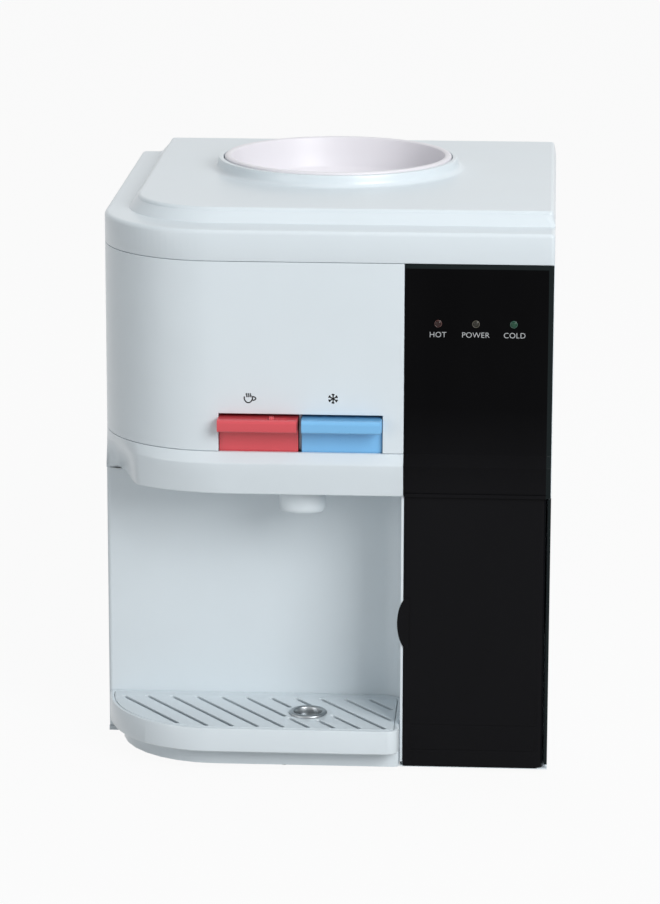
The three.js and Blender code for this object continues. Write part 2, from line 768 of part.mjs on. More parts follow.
for (let x = left + slotStart; x < fieldEnd; x += slotPitch) {
  const backY = fieldBack + overrun;
  const frontY = front - fieldProud - overrun;
  const shift = (backY - frontY) * slotSlope;
  const startX = x - overrun * slotSlope;
  const strip = prism(
    [
      new THREE.Vector2(startX - slotAcross, backY),
      new THREE.Vector2(startX - slotAcross + shift, frontY),
      new THREE.Vector2(startX + slotAcross + shift, frontY),
      new THREE.Vector2(startX + slotAcross, backY),
    ],
    grilleBottom - overrun,
    trayTop + overrun,
  );
  grille = cut(grille, strip.intersect(field));
}
grille = cut(grille, bore("z", ringSleeve + slip, ringX, ringY, grilleBottom - overrun,
  grilleThick + 2 * overrun));
addPiece("drip_grille", grille, materials.whiteGloss);

// Drain ring: a bright flanged bush in the grille
const ringOuter = 12.8;
const ringInner = 9.2;
const ringRise = 1.5;
const ringSleeveDepth = 4.5; // below the top of the grille
const ringSides = 4 * quarterSteps(ringOuter);
const ringTop = trayTop + gap + ringRise;
const drainRing = turned(
  [
    [ringInner, trayTop - ringSleeveDepth],
    [ringSleeve, trayTop - ringSleeveDepth],
    [ringSleeve, trayTop + gap],
    [ringOuter, trayTop + gap],
    [ringOuter - ringRise / 3, ringTop - ringRise / 3],
    [(ringOuter + ringInner) / 2, ringTop],
    [ringInner + ringRise / 3, ringTop - ringRise / 3],
    [ringInner, trayTop + gap],
    [ringInner, trayTop - ringSleeveDepth],
  ],
  ringX,
  ringY,
  ringSides,
);
addPiece("drain_ring", drainRing, materials.chrome);

// Tap levers: a hood to press, a skirt behind the window and two webs back to the shaft
const hoodReach = 10; // in front of the front panel
const hoodDrop = 8.4; // height of the hood
const hoodClear = 2.2; // under the window's top
const hoodOver = 0.2; // of the hood past its window's left side
const hoodStand = 1.1; // its back off the front panel, which it nears as the lever turns
const hoodRound = 2;
const leverSlip = 0.8; // at each side in the window
const skirtBack = 3; // skirt behind the front panel
const skirtBelow = 3.4; // skirt below the chin's top edge, behind it
const webInset = 4.5; // from the window's side to the web
const shaftFromFront = 48;
const shaftRise = 17.5; // over the chin
const shaftY = front + shaftFromFront;
const shaftZ = chinSeam + shaftRise;
const shaftRadius = 2;
const barrelRadius = 4.4;
const stemRadius = 3;
const presserRadius = 4;
const presserTip = 2.2; // radius of its foot
const presserDrop = 1; // its foot below the shaft
const presserBottom = shaftZ - presserDrop;
const hoodTop = windowTop - hoodClear;
const hoodBottom = hoodTop - hoodDrop;
const profileOf = (pairs) => pairs.map(([y, z]) => new THREE.Vector2(y, z));
const hoodProfile = profileOf([
  [front - hoodStand, hoodBottom],
  [front - hoodStand, hoodTop],
  [front - hoodReach + hoodRound, hoodTop],
  [front - hoodReach + hoodRound / 3, hoodTop - hoodRound / 3],
  [front - hoodReach, hoodTop - hoodRound],
  [front - hoodReach + thinWall / 4, hoodBottom + hoodRound / 2],
  [front - hoodReach + hoodRound, hoodBottom],
]).reverse();
const neckProfile = profileOf([
  [front - hoodReach / 2, hoodBottom],
  [front + skirtBack, hoodBottom],
  [front + skirtBack, chinSeam - skirtBelow],
  [front + skirtBack + wall, chinSeam - skirtBelow],
  [front + skirtBack + wall, hoodTop - wall],
  [shaftY, hoodTop - wall],
  [shaftY, hoodTop],
  [front - hoodReach / 2, hoodTop],
]);
const webProfile = profileOf([
  [front + skirtBack + wall / 2, chinSeam + edgeCorner],
  [shaftY - barrelRadius, shaftZ - barrelRadius],
  [shaftY + barrelRadius / 2, shaftZ - barrelRadius / 2],
  [shaftY, hoodTop - wall / 2],
  [front + skirtBack + wall / 2, hoodTop - wall / 2],
]);

function lever(x0, x1) {
  const webs = [x0 + webInset, x1 - webInset - thinWall].map((x) => prismX(webProfile, x, x + thinWall));
  const made = join(
    prismX(hoodProfile, x0 - hoodOver, x1 - leverSlip),
    prismX(neckProfile, x0 + leverSlip, x1 - leverSlip),
    ...webs,
    round("x", barrelRadius, x0 + webInset, shaftY, shaftZ, x1 - x0 - 2 * webInset),
    round("z", presserTip, (x0 + x1) / 2, stemY, presserBottom, hoodTop - wall / 2 - presserBottom,
      presserRadius),
  );
  return cut(made, bore("x", shaftRadius + slip / 2, x0, shaftY, shaftZ, x1 - x0));
}
const lockGrooveWidth = 4.6;
const lockGrooveDepth = 1.6;
const lockGrooveToEnd = 6.8; // groove's end, from the window's right side
const lockTravel = 6;
const lockFoot = 8; // length of the slider's foot
const lockNub = 3;
const lockRise = 1.8; // nub over the hood
const lockY = front - hoodReach / 2;
const lockGrooveLength = lockFoot + lockTravel + 2 * slip;
const lockStart = hotRight - lockGrooveToEnd - lockGrooveLength;
const lockGroove = box(lockStart, lockStart + lockGrooveLength, lockY - lockGrooveWidth / 2,
  lockY + lockGrooveWidth / 2, hoodTop - lockGrooveDepth, hoodTop + overrun);
addPiece("hot_lever", cut(lever(hotLeft, hotRight), lockGroove), materials.redPlastic);
addPiece("cold_lever", lever(coldLeft, coldRight), materials.bluePlastic);

// Child lock: a small slider in the hot lever's hood
const lockFootX = lockStart + slip;
const lockHalf = lockGrooveWidth / 2 - gap;
const lockNubX = lockFootX + (lockFoot - lockNub) / 2;
const childLock = join(
  box(lockFootX, lockFootX + lockFoot, lockY - lockHalf, lockY + lockHalf,
    hoodTop - lockGrooveDepth + gap, hoodTop - gap / 2),
  prismX(
    profileOf([
      [lockY - lockHalf, hoodTop - gap],
      [lockY + lockHalf, hoodTop - gap],
      [lockY + lockHalf / 2, hoodTop + lockRise],
      [lockY - lockHalf / 2, hoodTop + lockRise],
    ]),
    lockNubX,
    lockNubX + lockNub,
  ),
);
addPiece("child_lock", childLock, materials.redPlastic);

// Shaft through both levers, and the bracket that carries it on the chin's floor
const earThick = 2.4;
const earWidth = 13;
const shaftEnd = 4; // past the outer windows
const barZ = chinBottom + wall + gap;
const barFront = plateBack + gap;
const earBottomHalf = earWidth / 2 + edgeCorner;
const earProfile = [
  new THREE.Vector2(barFront, barZ),
  new THREE.Vector2(shaftY + earBottomHalf, barZ),
  ...arc(shaftY, shaftZ, earWidth / 2, earWidth / 2, 0, Math.PI),
];
const earXs = [hotLeft - shaftEnd / 2, spoutX - earThick / 2, coldRight + shaftEnd / 2 - earThick];
const bracket = cut(
  join(
    box(earXs[0], earXs[2] + earThick, barFront, shaftY + earBottomHalf, barZ, barZ + wall),
    ...earXs.map((x) => prismX(earProfile, x, x + earThick)),
  ),
  bore("x", shaftRadius + slip / 2, hotLeft - 2 * shaftEnd, shaftY, shaftZ,
    coldRight - hotLeft + 4 * shaftEnd),
);
addPiece("tap_bracket", bracket, materials.greyPlastic);
addPiece(
  "lever_shaft",
  round("x", shaftRadius, hotLeft - shaftEnd, shaftY, shaftZ, coldRight - hotLeft + 2 * shaftEnd),
  materials.steel,
);

// Valves on the spout plate, one under each lever, each with a stem and its return spring
const valveBase = plateZ + plateThick + gap;
const valveFlangeThick = 2;
const valveRadius = 9.5;
const valveSink = 2; // its top below the chin's top
const valveTop = chinSeam - valveSink;
const stemDepth = 14; // of the stem in the valve
const stemBore = 5; // more than its travel, under the stem
const nippleRadius = 4;
const nippleBore = 2.4;
const nippleLength = 12;
const nippleZ = valveBase + valveFlangeThick + nippleRadius + 1.5 * thinWall;
const valveXs = [spoutX - valveApart / 2, spoutX + valveApart / 2];
const stemTop = presserBottom - gap;
const collarThick = 1.5;
const stemCollar = 5.4;
const stemCollarZ = stemTop - 2 * collarThick;
const springRadius = 4.4; // to the middle of the wire
const springWire = 0.5; // radius of the wire
const springTurns = 5;
const stepsPerTurn = 8;
const valve = (x) =>
  cut(
    join(
      round("z", valveFlange, x, stemY, valveBase, valveFlangeThick),
      round("z", valveRadius, x, stemY, valveBase, valveTop - valveBase),
      round("y", nippleRadius, x, stemY, nippleZ, valveRadius + nippleLength),
    ),
    bore("z", stemRadius + slip / 2, x, stemY, valveTop - stemDepth - stemBore,
      stemDepth + stemBore + overrun),
    bore("y", nippleBore, x, stemY + valveRadius, nippleZ, nippleLength + overrun),
  );
const stem = (x) =>
  join(
    round("z", stemRadius, x, stemY, valveTop - stemDepth, stemTop - valveTop + stemDepth),
    round("z", stemCollar, x, stemY, stemCollarZ, collarThick),
  );

// A coil spring as one unbroken wire
class Coil extends THREE.Curve {
  constructor(x, y, z0, z1, radius, turns) {
    super();
    Object.assign(this, { x, y, z0, z1, radius, turns });
  }
  getPoint(t) {
    const angle = 2 * Math.PI * this.turns * t;
    return new THREE.Vector3(
      this.x + this.radius * Math.cos(angle),
      this.y + this.radius * Math.sin(angle),
      this.z0 + (this.z1 - this.z0) * t,
    );
  }
}
function spring(x, z0, z1) {
  const wire = new THREE.Shape(arc(0, 0, springWire, springWire, 0, 2 * Math.PI, 5).slice(0, -1));
  const path = new Coil(x, stemY, z0 + springWire, z1 - springWire, springRadius, springTurns);
  const steps = springTurns * stepsPerTurn;
  return solidOf(new THREE.ExtrudeGeometry(wire, { steps, extrudePath: path, bevelEnabled: false }));
}
["hot", "cold"].forEach((side, i) => {
  addPiece(side + "_valve", valve(valveXs[i]), materials.greyPlastic);
  addPiece(side + "_stem", stem(valveXs[i]), materials.greyPlastic);
  addPiece(side + "_spring", spring(valveXs[i], valveTop + gap, stemCollarZ - gap), materials.steel);
});

// Top cover: a ledge round the left and front, a raised plateau and the collar of the well
const ledgeWidthLeft = 15;
const ledgeWidthFront = 25;
const lidRound = 3; // of the ledge's outer edge
const plateauRound = 2.4;
const riserLean = 6; // of the plateau's riser at the left and the front
const edgeLeanShare = 0.2; // of that lean at the right and the back
const collarThickness = 4;
const collarFlare = 3.8; // of the collar's foot
const seatDrop = 3; // of the receptacle's seat below the plateau
const seatWidth = 4.6;
const lidCornerSteps = 7;
const roundSteps = 3;
const lidRing = (z, inset) => ({
  z,
  points: roundedPoints(left + inset, right - inset, front + inset, back - inset,
    { fl: headCorner - inset, fr: edgeCorner, br: edgeCorner, bl: edgeCorner }, lidCornerSteps),
});
const plateauRing = (z, inset, lean = riserLean) => ({
  z,
  points: roundedPoints(left + ledgeWidthLeft + lean + inset, right - edgeLeanShare * lean - inset,
    front + ledgeWidthFront + lean + inset, rearFace - edgeLeanShare * lean - inset,
    { fl: headCorner - ledgeWidthLeft - lean - inset, fr: edgeCorner, br: edgeCorner, bl: edgeCorner },
    lidCornerSteps),
});
// Levels of a rounded upper edge, from the foot of the rounding to its top.
const roundedEdge = (ring, top, radius, inset) =>
  Array.from({ length: roundSteps + 1 }, (_, i) => {
    const angle = ((Math.PI / 2) * i) / roundSteps;
    return ring(top - radius * (1 - Math.sin(angle)), inset + radius * (1 - Math.cos(angle)));
  });
const ledgeBody = loft([lidRing(lidSeam, 0), ...roundedEdge(lidRing, ledgeTop, lidRound, 0)]);
const plateauBody = loft([
  plateauRing(lidSeam, 0, 0),
  plateauRing(ledgeTop, 0, 0),
  ...roundedEdge(plateauRing, plateauTop, plateauRound, 0),
]);
const seatZ = plateauTop - seatDrop;
const wellSides = 4 * quarterSteps(wellRadius);
const collarBody = turned(
  [
    [0, seatZ - wall],
    [wellRadius + collarThickness, seatZ - wall],
    [wellRadius + collarThickness + collarFlare, plateauTop],
    [wellRadius + collarThickness + collarFlare / 4, plateauTop + collarFlare / 3],
    [wellRadius + collarThickness, plateauTop + collarFlare],
    [wellRadius + collarThickness - thinWall / 4, collarTop - thinWall / 2],
    [wellRadius + collarThickness - thinWall / 2, collarTop],
    [0, collarTop],
  ],
  wellX,
  wellY,
  wellSides,
);
const wellHole = turned(
  [
    [0, lidSeam],
    [wellRadius - seatWidth, lidSeam],
    [wellRadius - seatWidth, seatZ],
    [wellRadius, seatZ],
    [wellRadius, collarTop + overrun],
    [0, collarTop + overrun],
  ],
  wellX,
  wellY,
  wellSides,
);
const topCover = cut(
  join(
    cut(
      join(ledgeBody, plateauBody),
      prism(
        roundedPoints(left + wall, right - wall, front + wall, back - wall,
          { fl: headCorner - wall, fr: thinWall, br: thinWall, bl: thinWall }),
        lidSeam - overrun,
        ledgeTop - wall,
      ),
      prism(
        roundedPoints(left + ledgeWidthLeft + wall + riserLean, right - wall - edgeLeanShare * riserLean,
          front + ledgeWidthFront + wall + riserLean, rearFace - wall - edgeLeanShare * riserLean,
          { fl: headCorner - ledgeWidthLeft - wall - riserLean, fr: thinWall, br: thinWall, bl: thinWall }),
        lidSeam - overrun,
        plateauTop - wall,
      ),
    ),
    collarBody,
  ),
  wellHole,
);
addPiece("top_cover", topCover, materials.whiteGloss);

// Bottle receptacle: a funnel that drops into the collar, with a neck socket at its foot
const receptacleSlip = 0.7; // between collar and rim
const rimRise = 1.4; // of the rim over the collar
const rimWidth = 4.8;
const bowlDepth = 54; // from the collar's top to the neck
const bowlLipDepth = 9; // upright part of the bowl under the seat
const neckDepth = 16;
const neckRadius = 32.2; // inside
const rimRadius = wellRadius - receptacleSlip;
const rimTop = collarTop + rimRise;
const bowlTopRadius = wellRadius - seatWidth - receptacleSlip;
const neckTop = collarTop - bowlDepth;
const neckBottom = neckTop - neckDepth;
const probeShank = 8.4;
const receptacle = turned(
  [
    [rimRadius - rimWidth / 2, rimTop],
    [rimRadius - thinWall / 3, rimTop - rimRise / 3],
    [rimRadius, rimTop - rimRise],
    [rimRadius, seatZ + gap],
    [bowlTopRadius, seatZ + gap],
    [bowlTopRadius - thinWall, seatZ - bowlLipDepth],
    [neckRadius + wall, neckTop - wall],
    [neckRadius + wall, neckBottom - wall],
    [probeShank + slip, neckBottom - wall],
    [probeShank + slip, neckBottom],
    [neckRadius, neckBottom],
    [neckRadius, neckTop],
    [bowlTopRadius - thinWall - wall, seatZ - bowlLipDepth + thinWall],
    [bowlTopRadius - wall, seatZ + wall],
    [rimRadius - rimWidth, rimTop - rimRise / 2],
    [rimRadius - rimWidth / 2, rimTop],
  ],
  wellX,
  wellY,
  wellSides,
);
addPiece("bottle_receptacle", receptacle, materials.whiteGloss);

// Feed probe: stands in the neck socket, opens the bottle cap and leads water to the tank
const probeHeight = 34; // over the neck's floor
const probeTip = 3;
const probeShoulder = 7.4; // radius under the cone
const probeCone = 9; // height of the cone
const probeFlange = 11.5;
const probeFlangeThick = 2.6;
const probeTail = 12; // below the neck's floor
const probeBore = 5;
const probeWindow = 2.2; // radius of the side holes
const probeTop = neckBottom + probeHeight;
const probeFlangeZ = neckBottom + gap;
const probeBottom = neckBottom - wall - probeTail;
let probe = turned(
  [
    [0, probeTop],
    [probeTip, probeTop - probeTip / 2],
    [probeShoulder, probeTop - probeCone],
    [probeShank, probeFlangeZ + probeFlangeThick],
    [probeFlange, probeFlangeZ + probeFlangeThick],
    [probeFlange, probeFlangeZ],
    [probeShank, probeFlangeZ],
    [probeShank, probeBottom],
    [0, probeBottom],
  ],
  wellX,
  wellY,
);
const windowZ = probeTop - probeCone - 2 * probeWindow;
probe = cut(
  probe,
  bore("z", probeBore, wellX, wellY, probeBottom - overrun, windowZ + probeWindow - probeBottom + overrun),
  bore("x", probeWindow, wellX - probeFlange, wellY, windowZ, 2 * probeFlange),
  bore("y", probeWindow, wellX, wellY - probeFlange, windowZ, 2 * probeFlange),
);
addPiece("feed_probe", probe, materials.whiteGloss);

// Deck that carries the cold tank across the casing
const deckThick = 2.2;
const deckFlange = 12; // turned down along the sides
const deckBottom = chinBottom;
const deckTop = deckBottom + deckThick;
const deckLeft = left + wall + gap;
const deckRight = right - wall - gap;
const deckFront = sideStart + gap;
const coverReturn = 20; // of the rear cover's left wall, in front of the side panel's back
const deckBack = back - coverReturn - gap;
const deckHoleRadius = 9; // for the hoses to the hot tank
const tankRadius = 48; // of the cold tank
const foamThick = 14;
const foamRadius = tankRadius + foamThick;
const hotTankBeside = 15; // its axis from the cold tank's foam
const hotTankFromFront = 152;
const hotTankX = wellX - foamRadius - hotTankBeside;
const hotTankY = front + hotTankFromFront;
const risePort = 16; // hot outlet, to the left of the hot tank's axis
const feedPortX = 8; // hot tank's feed, to the left of its axis
const feedPortY = 24; // and behind it
const hotRiseX = hotTankX - risePort;
const feedX = hotTankX - feedPortX;
const feedY = hotTankY + feedPortY;
const deck = cut(
  join(
    box(deckLeft, deckRight, deckFront, deckBack, deckBottom, deckTop),
    box(deckLeft, deckLeft + thinWall, deckFront, deckBack, deckBottom - deckFlange, deckTop),
    box(deckRight - thinWall, deckRight, deckFront + cupboardDepth, deckBack, deckBottom - deckFlange,
      deckTop),
  ),
  bore("z", deckHoleRadius, hotRiseX, hotTankY, deckBottom - overrun, deckThick + 2 * overrun),
  bore("z", deckHoleRadius, feedX, wellY, deckBottom - overrun, deckThick + 2 * overrun),
);
addPiece("tank_deck", deck, materials.greyPlastic);

// Cold tank in its foam, under the well
const foamFloor = 12;
const foamBottom = deckTop + gap;
const tankWall = 1.2;
const tankFlange = 2; // wider than the tank, at its top
const tankBottom = foamBottom + foamFloor + gap;
const lidThick = 2.4;
const lidDrop = 3.6; // of the tank's lid below the neck socket
const lidTop = neckBottom - wall - lidDrop;
const tankTop = lidTop - lidThick - gap;
const splitDrop = 3; // of the foam's joint below the tank's top
const foamRise = 3; // of the foam over the neck socket's floor
const foamSplit = tankTop - splitDrop;
const foamTop = neckBottom + foamRise;
const foamSlip = gap; // round the tank
const outletZ = tankBottom + tankWall + nippleRadius + thinWall;
const outletLength = 12; // of the nipple past the foam
const portLength = foamRadius - tankRadius + outletLength + edgeCorner;
const coldTank = cut(
  join(
    turned(
      [
        [0, tankBottom],
        [tankRadius - edgeCorner, tankBottom],
        [tankRadius, tankBottom + edgeCorner],
        [tankRadius, tankTop - tankWall],
        [tankRadius + tankFlange, tankTop - tankWall],
        [tankRadius + tankFlange, tankTop],
        [0, tankTop],
      ],
      wellX,
      wellY,
    ),
    round("y", nippleRadius, wellX, wellY - foamRadius - outletLength, outletZ, portLength),
    round("x", nippleRadius, wellX - foamRadius - outletLength, wellY, outletZ, portLength),
  ),
  turned(
    [
      [0, tankBottom + tankWall],
      [tankRadius - edgeCorner - tankWall, tankBottom + tankWall],
      [tankRadius - tankWall, tankBottom + edgeCorner + tankWall],
      [tankRadius - tankWall, tankTop + overrun],
      [0, tankTop + overrun],
    ],
    wellX,
    wellY,
  ),
  bore("y", nippleBore, wellX, wellY - foamRadius - outletLength - overrun, outletZ,
    portLength + 2 * overrun),
  bore("x", nippleBore, wellX - foamRadius - outletLength - overrun, wellY, outletZ,
    portLength + 2 * overrun),
);
addPiece("cold_tank", coldTank, materials.steel);

const sealLip = 3; // soft lip that closes on the neck's floor
const coldLid = cut(
  join(
    round("z", tankRadius + tankFlange, wellX, wellY, lidTop - lidThick, lidThick),
    round("z", probeShank + 2 * sealLip, wellX, wellY, lidTop - lidThick / 2, lidThick / 2 + sealLip),
  ),
  bore("z", probeShank + slip, wellX, wellY, lidTop - lidThick - overrun, lidThick + sealLip + 2 * overrun),
);
addPiece("cold_tank_lid", coldLid, materials.silicone);

// Cold block, thermoelectric module, heat sink and fan behind the tank
const blockHalf = 20;
const blockZ = (foamBottom + foamTop) / 2; // middle of the cooling stack
const blockProud = 2; // of the block behind the foam
const blockBack = wellY + foamRadius + blockProud;
const moduleThick = 3.8;
const sinkHalfWidth = 45;
const sinkHalfHeight = 40;
const sinkBase = 5;
const fanClear = 6.9; // between the fan and the rear cover
const fanDepth = 18;
const fanBack = rearFace - wall - fanClear;
const fanFront = fanBack - fanDepth;
const finCount = 13;
const finThick = 1.6;
const blockSlot = box(wellX - blockHalf - gap, wellX + blockHalf + gap, wellY + tankRadius / 2,
  blockBack + overrun, blockZ - blockHalf - gap, blockZ + blockHalf + gap);
const foamLower = cut(
  turned(
    [
      [0, foamBottom],
      [foamRadius - edgeCorner, foamBottom],
      [foamRadius, foamBottom + edgeCorner],
      [foamRadius, foamSplit],
      [0, foamSplit],
    ],
    wellX,
    wellY,
  ),
  bore("z", tankRadius + foamSlip, wellX, wellY, tankBottom - gap, foamSplit - tankBottom + gap + overrun),
  bore("y", nippleRadius + slip, wellX, wellY - foamRadius - overrun, outletZ, foamRadius),
  bore("x", nippleRadius + slip, wellX - foamRadius - overrun, wellY, outletZ, foamRadius),
  blockSlot,
);
addPiece("foam_lower", foamLower, materials.foam);
const foamUpper = cut(
  turned(
    [
      [0, foamSplit + gap],
      [foamRadius, foamSplit + gap],
      [foamRadius, foamTop - edgeCorner],
      [foamRadius - edgeCorner, foamTop],
      [0, foamTop],
    ],
    wellX,
    wellY,
  ),
  bore("z", tankRadius + tankFlange + foamSlip, wellX, wellY, foamSplit - overrun,
    lidTop + gap - foamSplit + overrun),
  bore("z", neckRadius + wall + 2 * slip, wellX, wellY, foamSplit, foamTop - foamSplit + overrun),
);
addPiece("foam_upper", foamUpper, materials.foam);

const coldBlock = cut(
  box(wellX - blockHalf, wellX + blockHalf, wellY + tankRadius / 2, blockBack, blockZ - blockHalf,
    blockZ + blockHalf),
  bore("z", tankRadius + gap, wellX, wellY, blockZ - blockHalf - overrun, 2 * blockHalf + 2 * overrun),
);
addPiece("cold_block", coldBlock, materials.aluminium);
const moduleFront = blockBack + gap;
const sinkFront = moduleFront + moduleThick + gap;
addPiece(
  "cooling_module",
  box(wellX - blockHalf, wellX + blockHalf, moduleFront, moduleFront + moduleThick, blockZ - blockHalf,
    blockZ + blockHalf),
  materials.foam,
);
const finPitch = (2 * sinkHalfWidth - finThick) / (finCount - 1);
const sinkBack = fanFront - gap; // the fins reach to the fan
const fins = Array.from({ length: finCount }, (_, i) => {
  const x = wellX - sinkHalfWidth + i * finPitch;
  return box(x, x + finThick, sinkFront + sinkBase / 2, sinkBack, blockZ - sinkHalfHeight,
    blockZ + sinkHalfHeight);
});
addPiece(
  "heat_sink",
  join(
    box(wellX - sinkHalfWidth, wellX + sinkHalfWidth, sinkFront, sinkFront + sinkBase,
      blockZ - sinkHalfHeight, blockZ + sinkHalfHeight),
    ...fins,
  ),
  materials.aluminium,
);

// Fan: square frame with a hub on four arms, and a rotor of twisted blades
const fanHalf = 40;
const fanOpening = 37.5;
const fanHub = 15;
const fanArm = 4;
const fanArmThick = 2.4;
const axleRadius = 1.6;
const bladeCount = 7;
const bladeThick = 1.4;
const bladeChord = 15;
const bladeClear = 2;
const bladeTip = fanOpening - bladeClear;
const bladeTurnRoot = (36 * Math.PI) / 180; // of the chord from the axis
const bladeTurnTip = (58 * Math.PI) / 180;
const rotorBack = fanBack - fanArmThick - slip;
const hubFront = fanFront + thinWall;
const fanFrame = join(
  cut(
    prismY(roundedPoints(wellX - fanHalf, wellX + fanHalf, blockZ - fanHalf, blockZ + fanHalf,
      { fl: edgeCorner, fr: edgeCorner, br: edgeCorner, bl: edgeCorner }), fanFront, fanBack),
    bore("y", fanOpening, wellX, fanFront - overrun, blockZ, fanDepth + 2 * overrun),
  ),
  box(wellX - fanOpening - thinWall, wellX + fanOpening + thinWall, fanBack - fanArmThick, fanBack,
    blockZ - fanArm / 2, blockZ + fanArm / 2),
  box(wellX - fanArm / 2, wellX + fanArm / 2, fanBack - fanArmThick, fanBack,
    blockZ - fanOpening - thinWall, blockZ + fanOpening + thinWall),
  round("y", fanHub, wellX, fanBack - fanArmThick, blockZ, fanArmThick),
  round("y", axleRadius, wellX, hubFront + thinWall, blockZ, fanBack - hubFront - 2 * thinWall),
);
addPiece("fan_frame", fanFrame, materials.darkPlastic);

// A blade from the hub to its tip, whose slant eases from root to tip.
function blade(turn) {
  const bladeRoot = fanHub - thinWall;
  const length = bladeTip - bladeRoot;
  const geometry = new THREE.BoxGeometry(length, bladeThick, bladeChord, 3, 1, 1);
  const place = geometry.attributes.position;
  for (let i = 0; i < place.count; i++) {
    const share = place.getX(i) / length + 0.5;
    const slant = bladeTurnRoot + (bladeTurnTip - bladeTurnRoot) * share;
    const [y, z] = [place.getY(i), place.getZ(i)];
    place.setY(i, Math.sin(slant) * y + Math.cos(slant) * z + (hubFront + rotorBack) / 2);
    place.setZ(i, Math.sin(slant) * z - Math.cos(slant) * y);
    place.setX(i, bladeRoot + share * length);
  }
  const turned = new THREE.Matrix4().makeRotationY(turn);
  const middle = new THREE.Matrix4().makeTranslation(wellX, 0, blockZ);
  geometry.applyMatrix4(turned).applyMatrix4(middle);
  return solidOf(geometry);
}
let rotor = round("y", fanHub, wellX, hubFront, blockZ, rotorBack - hubFront);
for (let i = 0; i < bladeCount; i++) {
  const made = blade((2 * Math.PI * i) / bladeCount);
  rotor = join(rotor, made);
}
rotor = cut(rotor, bore("y", axleRadius + slip / 2, wellX, hubFront + thinWall - slip, blockZ,
  rotorBack - hubFront + overrun));
addPiece("fan_rotor", rotor, materials.darkPlastic);

// Hot tank on a stand on the floor, with its heater band
const hotRadius = 42;
const hotTankRise = 40; // of its foot over the base
const hotBottom = base + hotTankRise;
const hotHeight = 108;
const domeHeight = 14;
const hotTop = hotBottom + hotHeight;
const bandFrom = 26; // from the tank's foot
const bandHeight = 34;
const bandThick = 4.5;
const portRadius = 4;
const portRise = 7;
const drainZ = hotBottom + domeHeight + portRadius;
const standWall = 2;
const standInset = 3;
const standRadius = hotRadius - standInset;
const domeSteps = 4;
const dome = (z, sign, inwards) =>
  Array.from({ length: domeSteps + 1 }, (_, i) => {
    const angle = ((Math.PI / 2) * i) / domeSteps;
    const radius = i < domeSteps ? (hotRadius - inwards) * Math.cos(angle) : 0;
    return [radius, z + sign * (domeHeight - inwards) * Math.sin(angle)];
  });
const tankShape = (inwards) =>
  turned(
    [...dome(hotBottom + domeHeight, -1, inwards).reverse(), ...dome(hotTop - domeHeight, 1, inwards)],
    hotTankX,
    hotTankY,
  );
const tankPorts = (radius, past) => [
  round("z", radius, hotRiseX, hotTankY, hotTop - domeHeight, domeHeight + portRise + past),
  round("z", radius, feedX, feedY, hotTop - domeHeight, domeHeight + portRise + past),
  round("y", radius, hotTankX, hotTankY + hotRadius - 2 * portRadius, drainZ,
    2 * portRadius + portRise + past),
];
const hotTank = cut(
  join(tankShape(0), ...tankPorts(portRadius, 0)),
  tankShape(tankWall),
  ...tankPorts(nippleBore, overrun),
);
addPiece("hot_tank", hotTank, materials.steel);
const bandSides = 4 * quarterSteps(hotRadius);
const bandInner = (hotRadius + gap) / Math.cos(Math.PI / bandSides);
const bandZ = hotBottom + domeHeight + bandFrom;
const band = turned(
  [
    [bandInner, bandZ],
    [bandInner + bandThick, bandZ],
    [bandInner + bandThick, bandZ + bandHeight],
    [bandInner, bandZ + bandHeight],
    [bandInner, bandZ],
  ],
  hotTankX,
  hotTankY,
  bandSides,
);
addPiece("heater_band", band, materials.steel);
// The stand's upper edge follows the dome that rests in it.
const standBottom = floorTop + gap;
const stand = cut(
  turned(
    [
      [standRadius - standWall, standBottom],
      [standRadius + 2 * standWall, standBottom],
      [standRadius + 2 * standWall, standBottom + standWall],
      [standRadius, standBottom + standWall],
      [standRadius, hotBottom + domeHeight],
      [standRadius - standWall, hotBottom + domeHeight],
      [standRadius - standWall, standBottom],
    ],
    hotTankX,
    hotTankY,
  ),
  tankShape(-gap),
  round("y", 2 * portRadius, hotTankX, hotTankY, hotBottom - 2 * portRadius, hotRadius + overrun),
);
addPiece("hot_tank_stand", stand, materials.steel);

// Power supply: a vented metal cover over its board, open at the floor
const supplyFromLeft = 132;
const supplyFromBack = 28;
const supplyLeft = left + supplyFromLeft;
const supplyWidth = 96;
const supplyDepth = 62;
const supplyHeight = 40;
const supplyBack = back - supplyFromBack;
const supplyVents = 8;
const ventWidth = 3;
const ventInset = 9; // from the box's front and back
const supplyBottom = floorTop + gap;
const supplyFront = supplyBack - supplyDepth;
let supply = cut(
  box(supplyLeft, supplyLeft + supplyWidth, supplyFront, supplyBack, supplyBottom,
    supplyBottom + supplyHeight),
  box(supplyLeft + tankWall, supplyLeft + supplyWidth - tankWall, supplyFront + tankWall,
    supplyBack - tankWall, supplyBottom - overrun, supplyBottom + supplyHeight - tankWall),
);
for (let i = 0; i < supplyVents; i++) {
  const x = supplyLeft + ((i + 1) * supplyWidth) / (supplyVents + 1) - ventWidth / 2;
  supply = cut(
    supply,
    box(x, x + ventWidth, supplyFront + ventInset, supplyBack - ventInset,
      supplyBottom + supplyHeight - thinWall, supplyBottom + supplyHeight + overrun),
  );
}
addPiece("power_supply", supply, materials.steel);

